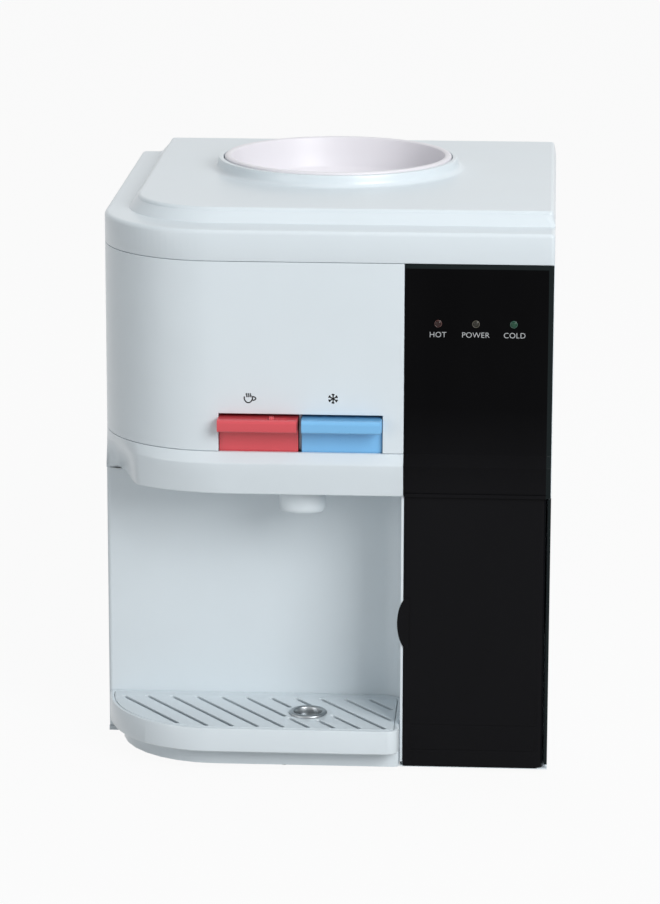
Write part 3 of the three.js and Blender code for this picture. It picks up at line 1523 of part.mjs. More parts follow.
// Hoses between tanks and valves
const hoseRadius = 4;
const hoseSteps = 16;
const outletEndY = wellY - foamRadius - outletLength - gap;
const valveEndY = stemY + valveRadius + nippleLength + gap;
const coldHose = hose(
  [
    [wellX, outletEndY, outletZ],
    [wellX, outletEndY - hoseRadius, outletZ],
    [valveXs[1], valveEndY + hoseRadius, nippleZ],
    [valveXs[1], valveEndY, nippleZ],
  ],
  hoseRadius,
  hoseSteps,
);
addPiece("cold_outlet_hose", coldHose, materials.silicone);
const hotPortTop = hotTop + portRise + gap;
const hotHose = hose(
  [
    [hotRiseX, hotTankY, hotPortTop],
    [hotRiseX, hotTankY, deckTop + 2 * hoseRadius],
    [hotRiseX + hoseRadius, hotTankY - 4 * hoseRadius, deckTop + 4 * hoseRadius],
    [valveXs[0], valveEndY + 5 * hoseRadius, nippleZ + hoseRadius],
    [valveXs[0], valveEndY + hoseRadius, nippleZ],
    [valveXs[0], valveEndY, nippleZ],
  ],
  hoseRadius,
  1.5 * hoseSteps,
);
addPiece("hot_outlet_hose", hotHose, materials.silicone);

const feedEndX = wellX - foamRadius - outletLength - gap;
const feedHose = hose(
  [
    [feedEndX, wellY, outletZ],
    [feedEndX - hoseRadius, wellY, outletZ],
    [feedX + hoseRadius / 4, wellY, outletZ - 1.5 * hoseRadius],
    [feedX, wellY, deckTop],
    [feedX, (wellY + feedY) / 2, (deckBottom + hotPortTop) / 2],
    [feedX, feedY, hotPortTop + hoseRadius],
    [feedX, feedY, hotPortTop],
  ],
  hoseRadius,
  hoseSteps,
);
addPiece("hot_feed_hose", feedHose, materials.silicone);

// Rear cover: a shallow box lid with a round grille at the fan, vents and openings
const coverLeft = left + rearInset;
const coverRight = right - rearReturn - gap;
const grilleRadius = 41;
const grilleSlot = 4.4;
const grillePitch = 8;
const grilleCount = 9;
const lowerVents = 6;
const lowerVentLength = 62;
const lowerVentHeight = 3.6;
const lowerVentPitch = 8;
const lowerVentFromLeft = 148;
const lowerVentRise = 62;
const switchFromRight = 78; // middle of the two switches
const switchRise = 168;
const inletFromRight = 78;
const inletRise = 30;
const inletHalfWidth = 13.5;
const inletHalfHeight = 10;
const nozzleRadius = 6;
const switchX = right - switchFromRight;
const switchZ = base + switchRise;
const switchPitch = 21;
const rockerHalfWidth = 6;
const rockerHalfHeight = 8.5;
const housingHalfWidth = switchPitch / 2 + rockerHalfWidth + 3 * thinWall;
const housingHalfHeight = rockerHalfHeight + 3 * thinWall;
const inletX = right - inletFromRight;
const inletZ = base + inletRise;
const coverBack = rearFace;
const coverFace = rearFace - wall; // inside of the plate
const disc = round("y", grilleRadius, wellX, coverFace - overrun, blockZ, wall + 2 * overrun);
let rearCover = join(
  box(coverLeft, coverRight, coverFace, coverBack, panelBottom, panelTop),
  box(coverLeft, coverLeft + wall, back - coverReturn, coverBack, panelBottom, panelTop),
);
for (let i = 0; i < grilleCount; i++) {
  const z = blockZ + (i - (grilleCount - 1) / 2) * grillePitch;
  const slot = box(wellX - grilleRadius, wellX + grilleRadius, coverFace - overrun, coverBack + overrun,
    z - grilleSlot / 2, z + grilleSlot / 2);
  rearCover = cut(rearCover, slot.intersect(disc));
}
for (let i = 0; i < lowerVents; i++) {
  const z = base + lowerVentRise + i * lowerVentPitch;
  const x = left + lowerVentFromLeft;
  rearCover = cut(
    rearCover,
    box(x, x + lowerVentLength, coverFace - overrun, coverBack + overrun, z, z + lowerVentHeight),
  );
}
const plateHole = (x, z, halfWidth, halfHeight) =>
  box(x - halfWidth - gap, x + halfWidth + gap, coverFace - overrun, coverBack + overrun,
    z - halfHeight - gap, z + halfHeight + gap);
rearCover = cut(
  rearCover,
  plateHole(switchX, switchZ, housingHalfWidth - thinWall, housingHalfHeight - thinWall),
  plateHole(inletX, inletZ, inletHalfWidth, inletHalfHeight),
  bore("y", nozzleRadius + slip, hotTankX, coverFace - overrun, drainZ, wall + 2 * overrun),
);
addPiece("rear_cover", rearCover, materials.whiteGloss);

// Hot and cold switches: a twin housing clipped into the rear cover, and two rockers
const housingDepth = 17;
const housingLip = 1.8; // thickness of its flange, on the cover
const rockerTurn = (8 * Math.PI) / 180; // each way from the middle
const rockerDepth = 4; // from its pivot to the middle of its face
const rockerRise = 1.6; // of its ends over the middle of its face
const rockerClear = 0.8;
const rockerShell = 3; // from its pivot to its inner face
const pivotY = coverBack + housingLip - rockerDepth + thinWall;
let housing = join(
  box(switchX - housingHalfWidth, switchX + housingHalfWidth, coverBack + gap, coverBack + gap + housingLip,
    switchZ - housingHalfHeight, switchZ + housingHalfHeight),
  box(switchX - housingHalfWidth + thinWall, switchX + housingHalfWidth - thinWall,
    coverBack + housingLip - housingDepth, coverBack + gap + housingLip / 2,
    switchZ - housingHalfHeight + thinWall, switchZ + housingHalfHeight - thinWall),
);
const switchXs = [switchX - switchPitch / 2, switchX + switchPitch / 2];
for (const x of switchXs) {
  const reach = rockerHalfHeight + rockerClear;
  housing = cut(
    housing,
    box(x - rockerHalfWidth - rockerClear, x + rockerHalfWidth + rockerClear,
      pivotY - rockerShell - 2 * thinWall, coverBack + housingLip + overrun, switchZ - reach,
      switchZ + reach),
  );
}
addPiece("switch_housing", housing, materials.darkPlastic);

// A rocker's side view, tipped with its lower end pressed in.
const rockerShape = [
  [-rockerShell, -rockerHalfHeight / 2],
  [rockerDepth - rockerRise, -rockerHalfHeight],
  [rockerDepth + rockerRise, -rockerHalfHeight],
  [rockerDepth, 0],
  [rockerDepth + rockerRise, rockerHalfHeight],
  [rockerDepth - rockerRise, rockerHalfHeight],
  [-rockerShell, rockerHalfHeight / 2],
];
const tipped = rockerShape.map(([y, z]) => new THREE.Vector2(
  pivotY + y * Math.cos(rockerTurn) + z * Math.sin(rockerTurn),
  switchZ + z * Math.cos(rockerTurn) - y * Math.sin(rockerTurn),
));
["hot_switch", "cold_switch"].forEach((name, i) => {
  const rocker = prismX(tipped, switchXs[i] - rockerHalfWidth, switchXs[i] + rockerHalfWidth);
  addPiece(name, rocker, [materials.redPlastic, materials.greyPlastic][i]);
});

// Mains inlet: a three-pin socket, set flush in the rear cover
const inletDepth = 20;
const inletFlange = 3; // wider than its body, behind the cover
const cavityWall = 2;
const cavityDepth = 15;
const cavityCorner = 5;
const pinLength = 9;
const pinHalfWidth = 1;
const pinHalfHeight = 2;
const pinApart = 7;
const pinDrop = 2; // of the outer pins below the middle one
const inletBack = coverBack + gap;
const cavityHalfWidth = inletHalfWidth - cavityWall;
const cavityHalfHeight = inletHalfHeight - cavityWall;
const cavityOutline = [
  [-cavityHalfWidth, -cavityHalfHeight],
  [cavityHalfWidth, -cavityHalfHeight],
  [cavityHalfWidth, cavityHalfHeight - cavityCorner],
  [cavityHalfWidth - cavityCorner, cavityHalfHeight],
  [cavityCorner - cavityHalfWidth, cavityHalfHeight],
  [-cavityHalfWidth, cavityHalfHeight - cavityCorner],
].map(([x, z]) => new THREE.Vector2(inletX + x, inletZ + z));
let inlet = cut(
  join(
    box(inletX - inletHalfWidth, inletX + inletHalfWidth, inletBack - inletDepth, inletBack,
      inletZ - inletHalfHeight, inletZ + inletHalfHeight),
    box(inletX - inletHalfWidth - inletFlange, inletX + inletHalfWidth + inletFlange,
      coverFace - gap - cavityWall, coverFace - gap, inletZ - inletHalfHeight - inletFlange,
      inletZ + inletHalfHeight + inletFlange),
  ),
  prismY(cavityOutline, inletBack - cavityDepth, inletBack + overrun),
);
for (const [x, z] of [[-pinApart, -pinDrop], [0, pinDrop], [pinApart, -pinDrop]]) {
  inlet = join(inlet, box(inletX + x - pinHalfWidth, inletX + x + pinHalfWidth,
    inletBack - cavityDepth - thinWall, inletBack - cavityDepth + pinLength, inletZ + z - pinHalfHeight,
    inletZ + z + pinHalfHeight));
}
addPiece("power_inlet", inlet, materials.darkPlastic);

// Drain: a pipe from the hot tank to a nozzle in the rear cover, closed by a ribbed cap
const nozzleProud = 8;
const pipeBore = 2.6;
const nozzleFlange = 10;
const capRadius = 8.6;
const capWall = 1.8;
const capRibs = 10;
const capRibRadius = 1;
const capClear = 0.5; // round the nozzle
const pipeStart = hotTankY + hotRadius + portRise + gap;
const drainPipe = cut(
  join(
    round("y", portRadius, hotTankX, pipeStart, drainZ, coverFace - pipeStart),
    round("y", nozzleFlange, hotTankX, coverFace - gap - thinWall, drainZ, thinWall),
    round("y", nozzleRadius, hotTankX, coverFace - gap - thinWall, drainZ,
      coverBack + nozzleProud - coverFace + gap + thinWall),
  ),
  bore("y", pipeBore, hotTankX, pipeStart - overrun, drainZ,
    coverBack + nozzleProud - pipeStart + 2 * overrun),
);
addPiece("drain_pipe", drainPipe, materials.silicone);
const capFrom = coverBack + gap;
let cap = round("y", capRadius, hotTankX, capFrom, drainZ, coverBack + drainProud - capFrom);
for (let i = 0; i < capRibs; i++) {
  const angle = (2 * Math.PI * i) / capRibs;
  cap = join(cap, round("y", capRibRadius, hotTankX + capRadius * Math.cos(angle), capFrom,
    drainZ + capRadius * Math.sin(angle), coverBack + drainProud - capWall - capFrom));
}
cap = cut(cap, bore("y", nozzleRadius + capClear, hotTankX, capFrom - overrun, drainZ,
  drainProud - capWall + overrun));
addPiece("drain_cap", cap, materials.greyPlastic);

export default root;
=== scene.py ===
import json
import bmesh
import bpy
import numpy as np
from mathutils import Matrix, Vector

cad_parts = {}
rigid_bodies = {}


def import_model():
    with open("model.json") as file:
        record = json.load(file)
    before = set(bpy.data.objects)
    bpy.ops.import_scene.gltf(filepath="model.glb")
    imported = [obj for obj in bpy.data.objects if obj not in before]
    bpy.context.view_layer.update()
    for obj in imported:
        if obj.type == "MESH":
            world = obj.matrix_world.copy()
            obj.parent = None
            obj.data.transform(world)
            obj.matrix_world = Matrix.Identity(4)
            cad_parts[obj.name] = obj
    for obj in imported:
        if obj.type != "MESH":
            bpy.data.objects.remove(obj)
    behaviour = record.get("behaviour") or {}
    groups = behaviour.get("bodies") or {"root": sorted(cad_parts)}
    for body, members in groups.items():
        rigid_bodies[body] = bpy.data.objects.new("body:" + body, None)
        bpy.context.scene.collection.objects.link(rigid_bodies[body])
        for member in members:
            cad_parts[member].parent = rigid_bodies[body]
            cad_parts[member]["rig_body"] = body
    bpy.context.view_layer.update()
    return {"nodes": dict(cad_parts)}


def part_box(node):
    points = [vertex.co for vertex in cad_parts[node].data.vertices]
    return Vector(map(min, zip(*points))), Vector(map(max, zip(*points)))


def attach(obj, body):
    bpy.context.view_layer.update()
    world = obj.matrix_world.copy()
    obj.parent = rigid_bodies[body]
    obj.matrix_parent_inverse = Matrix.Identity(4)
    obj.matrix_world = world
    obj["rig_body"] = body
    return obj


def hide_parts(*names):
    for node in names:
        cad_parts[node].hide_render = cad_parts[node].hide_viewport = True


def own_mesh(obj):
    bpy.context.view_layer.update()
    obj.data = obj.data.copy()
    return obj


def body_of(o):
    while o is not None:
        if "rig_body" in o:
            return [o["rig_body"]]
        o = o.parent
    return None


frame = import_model()


# Camera: a long lens, a little to the right of the dispenser and above it, looking slightly
# down. Places and sizes in this file are in millimetres, in the frame of the CAD model.
def put(name, data):
    """A new object, linked to the scene."""
    made = bpy.data.objects.new(name, data)
    bpy.context.scene.collection.objects.link(made)
    return made


def standing(side, up, back, place):
    """The matrix of an object at a place, whose own X, Y and Z run along side, up and back."""
    matrix = np.eye(4)
    matrix[:3] = np.column_stack([side, up, back, np.array(place) / 1000])
    return Matrix(matrix.tolist())


eye = np.array([145.6, -2589.5, 819.1])
yaw, pitch, roll = np.radians([-3.3075, -13.8274, 0.1376])
ahead = np.array([np.sin(yaw) * np.cos(pitch), np.cos(yaw) * np.cos(pitch), np.sin(pitch)])
level = np.cross(ahead, [0, 0, 1])
level /= np.linalg.norm(level)
above = np.cross(level, ahead)
across = np.cos(roll) * level + np.sin(roll) * above
upward = np.cos(roll) * above - np.sin(roll) * level
camera_data = bpy.data.cameras.new("camera")
camera_data.lens = 152.73
camera_data.sensor_width = 36
camera_data.clip_end = 50
camera = put("camera", camera_data)
camera.matrix_world = standing(across, upward, -ahead, eye)
bpy.context.scene.camera = camera
bpy.context.scene.view_settings.view_transform = "Standard"


# Light: a big soft box in front and to the right, a weaker one from the left, and one above.
# A pale room fills the rest.
def soft_box(name, place, aim, size, power):
    """A square area light, its size in metres, whose face looks from its place to the aim."""
    light = bpy.data.lights.new(name, "AREA")
    light.shape = "SQUARE"
    light.size = size
    light.energy = power
    back = np.subtract(place, aim) / np.linalg.norm(np.subtract(place, aim))
    side = np.cross([0, 0, 1], back)
    side /= np.linalg.norm(side)
    put(name, light).matrix_world = standing(side, np.cross(back, side), back, place)


soft_box("box_front", (1500, -2000, 1500), (0, 0, 180), 1.4, 55)
soft_box("box_left", (-1750, -1650, 560), (0, 0, 180), 1.0, 8)
soft_box("box_top", (200, 300, 2200), (0, 0, 200), 1.6, 10)


# Worktop and room: a white sweep, 12 m across, that keeps the dispenser's shadow. The camera, and
# what is mirrored in gloss and metal, see it as white.
class Value:
    """A number that varies over a surface. An expression on it adds its Math nodes."""

    def __init__(self, nodes, socket):
        self.nodes, self.socket = nodes, socket

    def reckon(self, operation, *numbers):
        return self.nodes.node("ShaderNodeMath", {"operation": operation},
                               dict(enumerate(numbers)))

    def __add__(self, other):
        return self.reckon("ADD", self, other)

    def __sub__(self, other):
        return self.reckon("SUBTRACT", self, other)

    def __rsub__(self, other):
        return self.reckon("SUBTRACT", other, self)

    def __mul__(self, other):
        return self.reckon("MULTIPLY", self, other)

    def __gt__(self, other):
        return self.reckon("GREATER_THAN", self, other)

    __radd__, __rmul__ = __add__, __mul__

    def highest(self, other):
        return self.reckon("MAXIMUM", self, other)


class Nodes:
    """A node tree being built."""

    def __init__(self, tree):
        self.tree = tree

    def node(self, kind, settings=None, sockets=None, output=0):
        """Any node: its settings first, then a value or a link for each named socket."""
        made = self.tree.nodes.new(kind)
        for setting, value in (settings or {}).items():
            setattr(made, setting, value)
        for socket, value in (sockets or {}).items():
            if isinstance(value, Value):
                self.tree.links.new(value.socket, made.inputs[socket])
            else:
                made.inputs[socket].default_value = value
        return Value(self, made.outputs[output])


class Finish(Nodes):
    """A material being mixed: its node tree, with a Principled shader as its start."""

    def __init__(self, name, **constants):
        self.material = bpy.data.materials.new(name)
        self.material.use_nodes = True
        super().__init__(self.material.node_tree)
        self.shader = self.tree.nodes["Principled BSDF"]
        for socket, value in constants.items():
            self.shader.inputs[socket.replace("_", " ")].default_value = value

    def feed(self, socket, value):
        self.tree.links.new(value.socket, self.shader.inputs[socket])

    def place(self):
        return self.node("ShaderNodeTexCoord", output="Object")

    def cloud(self, size, detail=2.0, squeeze=None):
        """Smooth noise from 0 to 1 whose patches are about size millimetres wide."""
        where = self.place()
        if squeeze:
            where = self.node("ShaderNodeMapping", None, {"Vector": where, "Scale": squeeze})
        return self.node("ShaderNodeTexNoise", None,
                         {"Vector": where, "Scale": 1000 / size, "Detail": detail})

    def tint(self, factor, low, high):
        """A colour that goes from low to high as the factor goes from 0 to 1."""
        return self.node("ShaderNodeMix", {"data_type": "RGBA"},
                         {"Factor": factor, 6: (*low, 1), 7: (*high, 1)}, output=2)

    def rough_up(self, height, depth):
        """A bump of the given depth in millimetres."""
        self.feed("Normal", self.node(
            "ShaderNodeBump", None,
            {"Height": height, "Distance": depth / 1000, "Strength": 1.0}))


def shade(hexed):
    """A colour written as six hexadecimal digits, turned into linear light."""
    value = np.array([int(hexed[i:i + 2], 16) for i in (0, 2, 4)]) / 255
    straight, curved = value / 12.92, ((value + 0.055) / 1.055) ** 2.4
    return tuple(np.where(value <= 0.04045, straight, curved).tolist())


def seen_directly(nodes):
    """1 for a ray from the camera or off a mirror or glass, 0 for a ray that carries light."""
    camera_ray, glossy_ray, glass_ray = (
        nodes.node("ShaderNodeLightPath", output="Is " + kind + " Ray")
        for kind in ("Camera", "Glossy", "Transmission"))
    return camera_ray.highest(glossy_ray).highest(glass_ray)


sweep_white, room_strength, sweep_half = 0.94, 0.28, 6
worktop = Finish("white_sweep", Base_Color=(0.5, 0.5, 0.5, 1), Roughness=0.9)
glow = worktop.node("ShaderNodeEmission", None, {"Color": (1, 1, 1, 1), "Strength": 1.0})
mixed = worktop.node("ShaderNodeMixShader", None,
                     {0: seen_directly(worktop) * sweep_white,
                      1: Value(worktop, worktop.shader.outputs[0]), 2: glow})
worktop.tree.links.new(mixed.socket, worktop.tree.nodes["Material Output"].inputs["Surface"])
floor_mesh = bpy.data.meshes.new("worktop")
floor_mesh.from_pydata([(x * sweep_half, y * sweep_half, 0)
                        for x, y in ((-1, -1), (1, -1), (1, 1), (-1, 1))], [], [(0, 1, 2, 3)])
floor_mesh.materials.append(worktop.material)
floor = put("worktop", floor_mesh)

room = bpy.data.worlds.new("room")
room.use_nodes = True
sky = Nodes(room.node_tree)
lit = sky.node("ShaderNodeBackground", None,
               {"Color": (0.94, 0.97, 1.0, 1), "Strength": room_strength})
white = sky.node("ShaderNodeBackground", None, {"Color": (1, 1, 1, 1), "Strength": 1.0})
both = sky.node("ShaderNodeMixShader", None, {0: seen_directly(sky), 1: lit, 2: white})
room.node_tree.links.new(both.socket, room.node_tree.nodes["World Output"].inputs["Surface"])
bpy.context.scene.world = room


# Base pan: the moulded floor that carries the works, with a rounded plinth nose under the drip
# tray. White gloss plastic, the same as the whole casing.
def moulded(name, colour, roughness, drift=0.03, grain=0.012, coat=0.0):
    """Moulded plastic: faint drift of the colour, uneven gloss and the mould's fine texture."""
    finish = Finish(name, Coat_Weight=coat, Coat_Roughness=0.06)
    base = np.array(shade(colour))
    broad = finish.cloud(60)
    finish.feed("Base Color", finish.tint(broad, base * (1 - drift), base * (1 + drift)))
    fine = finish.cloud(1.1, 3.0)
    finish.feed("Roughness",
                broad * (0.25 * roughness) + fine * (0.1 * roughness) + 0.82 * roughness)
    finish.rough_up(fine * grain + finish.cloud(26, 1.0) * 0.12, 1.0)
    return finish.material


white_casing = moulded("white_casing", "d9e2e7", 0.3)


def grid(rows, columns, close_rows=False, close_columns=False):
    """Quads of a grid whose point in row r and column c has number r times columns plus c."""
    r = np.arange(rows if close_rows else rows - 1)[:, None]
    c = np.arange(columns if close_columns else columns - 1)[None, :]
    up, along = (r + 1) % rows, (c + 1) % columns
    quads = [r * columns + c, r * columns + along, up * columns + along, up * columns + c]
    return np.stack(quads, -1).reshape(-1, 4)


def together(*shapes):
    """Several (points, faces) shapes as one: each face's numbers move past the points before."""
    starts = np.cumsum([0] + [len(points) for points, _ in shapes])
    faces = [[int(i) + int(start) for i in face]
             for start, (_, found) in zip(starts, shapes) for face in found]
    return np.concatenate([points for points, _ in shapes]), faces


def piece(name, node, finish, shape, wall=0.0, edge=0.0, bend=32, body=None):
    """A mesh object from points in millimetres and faces. Doubles are merged and faces turned
    outwards. A wall thickens an open skin inwards, and edge rounds every edge sharper than bend."""
    points, faces = shape
    mesh = bpy.data.meshes.new(name)
    mesh.from_pydata((np.asarray(points) / 1000).tolist(), [],
                     [list(map(int, face)) for face in faces])
    work = bmesh.new()
    work.from_mesh(mesh)
    bmesh.ops.remove_doubles(work, verts=work.verts, dist=2e-6)
    bmesh.ops.dissolve_degenerate(work, dist=1e-6, edges=work.edges)
    if not wall:
        bmesh.ops.recalc_face_normals(work, faces=work.faces)
    work.to_mesh(mesh)
    work.free()
    return dress(name, mesh, node, finish, wall, edge, 3, bend, body)


def dress(name, mesh, node, finish, wall, edge, segments, bend, body):
    """The object of a mesh: its shading, finish and rounding, and its place in the frame."""
    mesh.shade_smooth()
    mesh.set_sharp_from_angle(angle=np.radians(bend))
    mesh.materials.clear()
    mesh.materials.append(finish)
    made = put(name, mesh)
    if wall:
        skin = made.modifiers.new("wall", "SOLIDIFY")
        skin.thickness = wall / 1000
        skin.offset = -1
        skin.use_even_offset = True
        skin.use_quality_normals = True
    if edge:
        rim = made.modifiers.new("rim", "BEVEL")
        rim.width = edge / 1000
        rim.segments = segments
        rim.limit_method = "ANGLE"
        rim.angle_limit = np.radians(bend)
        rim.use_clamp_overlap = True
        rim.harden_normals = True
    if node:
        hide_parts(node)
    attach(made, body or body_of(frame["nodes"][node])[0])
    return made


def soften(node, finish, edge):
    """The CAD solid once more, its triangles merged into faces and its edges rounded."""
    mesh = frame["nodes"][node].data.copy()
    mesh.name = node + "_skin"
    work = bmesh.new()
    work.from_mesh(mesh)
    bmesh.ops.remove_doubles(work, verts=work.verts, dist=2e-6)
    bmesh.ops.dissolve_limit(work, angle_limit=np.radians(1.0), verts=work.verts, edges=work.edges)
    work.to_mesh(mesh)
    work.free()
    return dress(node + "_skin", mesh, node, finish, 0.0, edge, 2, 30, None)


def corners(node):
    """Lowest and highest corner of a CAD node, in millimetres."""
    low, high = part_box(node)
    return np.array(low) * 1000, np.array(high) * 1000


soften("base_pan", white_casing, 0.5)

# Feet: four soft pads of dark rubber, pressed into the base pan from below. Each is its CAD solid
# with rounded edges.
rubber = moulded("foot_rubber", "2a2a2b", 0.8, 0.1, 0.05)
for number in range(1, 5):
    soften("foot_%d" % number, rubber, 0.6)


# Bay liner: one sheet that backs the cup bay, turns into the wall beside the column, and at the
# left turns round to meet the side panel. White gloss plastic.
left, front, back_of_sides = -150.0, -156.25, 155.75
bay_back, bay_right, side_start = -90.25, 51.8, -75.25
floor_top, chin_bottom, chin_seam, lid_seam = 7.0, 190.0, 218.5, 345.3
gap, wall = 0.3, 2.4


def arc(x, y, across, deep, start, end, steps):
    """Points of an arc about (x, y), from one angle in degrees to another: cosine and sine,
    stretched by a half width and a half depth."""
    angle = np.radians(np.linspace(start, end, steps + 1))
    return np.column_stack([x + across * np.cos(angle), y + deep * np.sin(angle)])


def sheet(path, levels, keep=None):
    """A skin that stands on a path: each path point repeated at each level. Cells whose middle
    (x, y, z) keep() turns down are left out."""
    levels = np.asarray(levels, float)
    rows, columns = len(levels), len(path)
    points = np.column_stack([np.tile(path, (rows, 1)), np.repeat(levels, columns)])
    faces = grid(rows, columns)
    if keep is not None:
        faces = faces[keep(*points[faces].mean(axis=1).T)]
    return points, faces


liner_path = np.concatenate([
    [[left, side_start - gap]],
    arc(left + 3, bay_back + 3, 3, 3, 180, 270, 6),
    arc(bay_right - 14, bay_back - 14, 14, 14, 90, 0, 16),
    [[bay_right, front]],
])
piece("bay_liner_skin", "bay_liner", white_casing,
      sheet(liner_path, np.linspace(floor_top + gap, chin_bottom + 0.3, 5)), wall=1.8, edge=0.4)

# Side panels: flat sheets with rounded upright edges at the rear, clipped to the base pan and the
# lid. White gloss plastic.
left_path = np.concatenate([
    [[left + 21.2, back_of_sides]],
    arc(left + 3, back_of_sides - 3, 3, 3, 90, 180, 6),
    [[left, side_start]],
])
piece("left_side_panel_skin", "left_side_panel", white_casing,
      sheet(left_path, [floor_top + gap, 90, 180, 270, lid_seam - gap]), wall=wall, edge=0.4)
right, rear_face = 150.0, 160.75
right_path = np.concatenate([
    [[right, front + 3.3]],
    arc(right - 3, rear_face - 3, 3, 3, 0, 90, 6),
    [[right - 8, rear_face]],
])
piece("right_side_panel_skin", "right_side_panel", white_casing,
      sheet(right_path, [floor_top + gap, chin_bottom - gap, 270, lid_seam - gap]), wall=wall,
      edge=0.4)

# Upper front panel: it wraps the big front corner and has two windows for the taps, open at the
# panel's foot, with a reveal behind each. White gloss plastic.
panel_end, hot_left, hot_right, cold_left, cold_right = 53.3, -68.3, -15.7, -13.3, 39.3
window_top, head_corner = 244.0, 78.0
front_path = np.concatenate([
    [[left, side_start - gap]],
    arc(left + head_corner, front + head_corner, head_corner, head_corner, 180, 270, 40),
    [[x, front] for x in (hot_left, hot_right, cold_left, cold_right, panel_end - gap)],
])


def beside_windows(x, y, z):
    """Whether a place on the panel's skin lies outside the tap windows."""
    return ~((y < front + 0.1) & (z < window_top) & (x > hot_left) & (x < cold_right))


piece("upper_front_panel_skin", "upper_front_panel", white_casing,
      sheet(front_path, [chin_seam + 0.15, window_top, 290, lid_seam - gap], beside_windows),
      wall=wall, edge=0.45)


def capped(points, count):
    """A solid through rings of count points each: faces from ring to ring, and two caps."""
    last = len(points) - count
    faces = grid(len(points) // count, count, close_columns=True).tolist()
    return points, faces + [list(range(count)), list(range(last, last + count))]


def run_along(outline, axis, low, high):
    """An outline given depth along an axis. Its points are (y, z) for axis 0, (x, z) for axis 1
    and (x, y) for axis 2."""
    depths = np.repeat([low, high], len(outline))
    return capped(np.insert(np.tile(np.asarray(outline, float), (2, 1)), axis, depths, axis=1),
                  len(outline))


def bar(x0, x1, y0, y1):
    """The four corners of a rectangle, anticlockwise."""
    return [(x0, y0), (x1, y0), (x1, y1), (x0, y1)]


reveal_wall, reveal_front, reveal_back, reveal_foot = 1.6, front + 1.2, front + 7.4, chin_seam + 0.2
reveal = [(hot_left - reveal_wall, reveal_foot), (hot_left - reveal_wall, window_top + reveal_wall),
          (cold_right + reveal_wall, window_top + reveal_wall),
          (cold_right + reveal_wall, reveal_foot), (cold_right, reveal_foot),
          (cold_right, window_top), (hot_left, window_top), (hot_left, reveal_foot)]
post = bar(hot_right, hot_right + 1.5, reveal_foot, window_top)
flange = bar(panel_end - gap - reveal_wall, panel_end - gap, reveal_front, reveal_back)
piece("tap_reveals", None, white_casing,
      together(run_along(reveal, 1, reveal_front, reveal_back),
               run_along(post, 1, front + 6.8, reveal_back),
               run_along(flange, 2, reveal_foot, lid_seam - gap)), edge=0.2, body="casing")

# Chin: the band under the levers. Its lip leans out of the front, its face slopes back to the
# foot, and its left end draws in towards the bay. White gloss plastic, clipped under the panel.
lip_drop, lip_proud, foot_proud, chin_run, chin_step = 7.1, 5.0, 0.6, 90.0, 0.2
ease_start, ease_span = 7, 20
chin_height = chin_seam - chin_bottom


def chin_ring(share, proud, skin):
    """One level of the chin. Share runs from 0 at its top to 1 at its foot. The big curve is a
    quarter oval, y = start - depth * sin(t) over x = left + run * (1 - cos(t)). Towards the foot
    it runs longer and starts further forward, and its start eases in along the bay's back."""
    run = head_corner + (chin_run - head_corner) * share
    middle = front + head_corner
    start = middle - share * (middle - bay_back + chin_step)
    turn = np.linspace(0, np.pi / 2, 56)
    ease = np.clip((run * (1 - np.cos(turn)) - ease_start) / ease_span, 0, 1)
    drop = np.sin(turn) * (1 - share * (1 - ease ** 2 * (3 - 2 * ease)))
    inwards = skin * np.maximum(np.sin(turn), share)
    curve = np.column_stack([left + run * (1 - np.cos(turn)) + skin * np.cos(turn),
                             start - (start - front + proud) * drop + inwards])
    end = panel_end - gap - skin
    back = [[x, side_start - gap] for x in np.linspace(end, left + skin, 16)[:-1]]
    return np.concatenate([[[left + skin, side_start - gap]], curve,
                           [[end, front - proud + skin]], back])


spout_x, spout_y, spout_wide, spout_deep, spout_bottom = -14.5, -133.25, 15.4, 11.0, 173.2


def oval_facing(ring, half_wide, half_deep):
    """The point of an oval about the spout's axis that lies in the same direction as each point
    of a ring: the unit direction over the root of (cos/a) squared plus (sin/b) squared."""
    way = ring - [spout_x, spout_y]
    bearing = np.maximum.accumulate(np.unwrap(np.arctan2(way[:, 1], way[:, 0])))
    way = np.column_stack([np.cos(bearing), np.sin(bearing)])
    return [spout_x, spout_y] + way / np.hypot(way[:, :1] / half_wide, way[:, 1:] / half_deep)


def tube_of(rings, heights):
    """A closed skin round a hollow, through rings that end where they began."""
    points = np.column_stack([np.concatenate(rings), np.repeat(heights, len(rings[0]))])
    return points, grid(len(rings), len(rings[0]), True, True)


chin_crease = chin_seam - lip_drop
chin_steps = [(chin_bottom, 0.5), (chin_bottom + 0.15, 0.15), (chin_bottom + 0.5, 0),
              (chin_bottom + 1.1, 0), (chin_bottom + 14, 0), (chin_crease - 0.6, 0),
              (chin_crease, 0.12), (chin_crease + 0.6, 0), (chin_seam - 0.8, 0),
              (chin_seam - 0.35, 0), (chin_seam - 0.15, 0.2)]
chin_heights, chin_insets = np.array(chin_steps).T
chin_shares = (chin_seam - chin_heights) / chin_height
chin_prouds = np.interp(chin_heights, [chin_bottom, chin_crease, chin_seam],
                        [foot_proud, lip_proud, 0])
chin_outer = [chin_ring(*step) for step in zip(chin_shares, chin_prouds, chin_insets)]
inner_levels = [0, 5, -1]
chin_inner = [chin_ring(chin_shares[i], chin_prouds[i], wall) for i in inner_levels]
inner_heights = [chin_bottom + wall, *chin_heights[inner_levels[1:]]]
hole = oval_facing(chin_outer[0], spout_wide + gap, spout_deep + gap)
piece("chin_cover_skin", "chin_cover", white_casing,
      tube_of([hole, hole, *chin_outer, *chin_inner[::-1]],
              [chin_bottom + wall, chin_bottom, *chin_heights, *inner_heights[::-1]]))


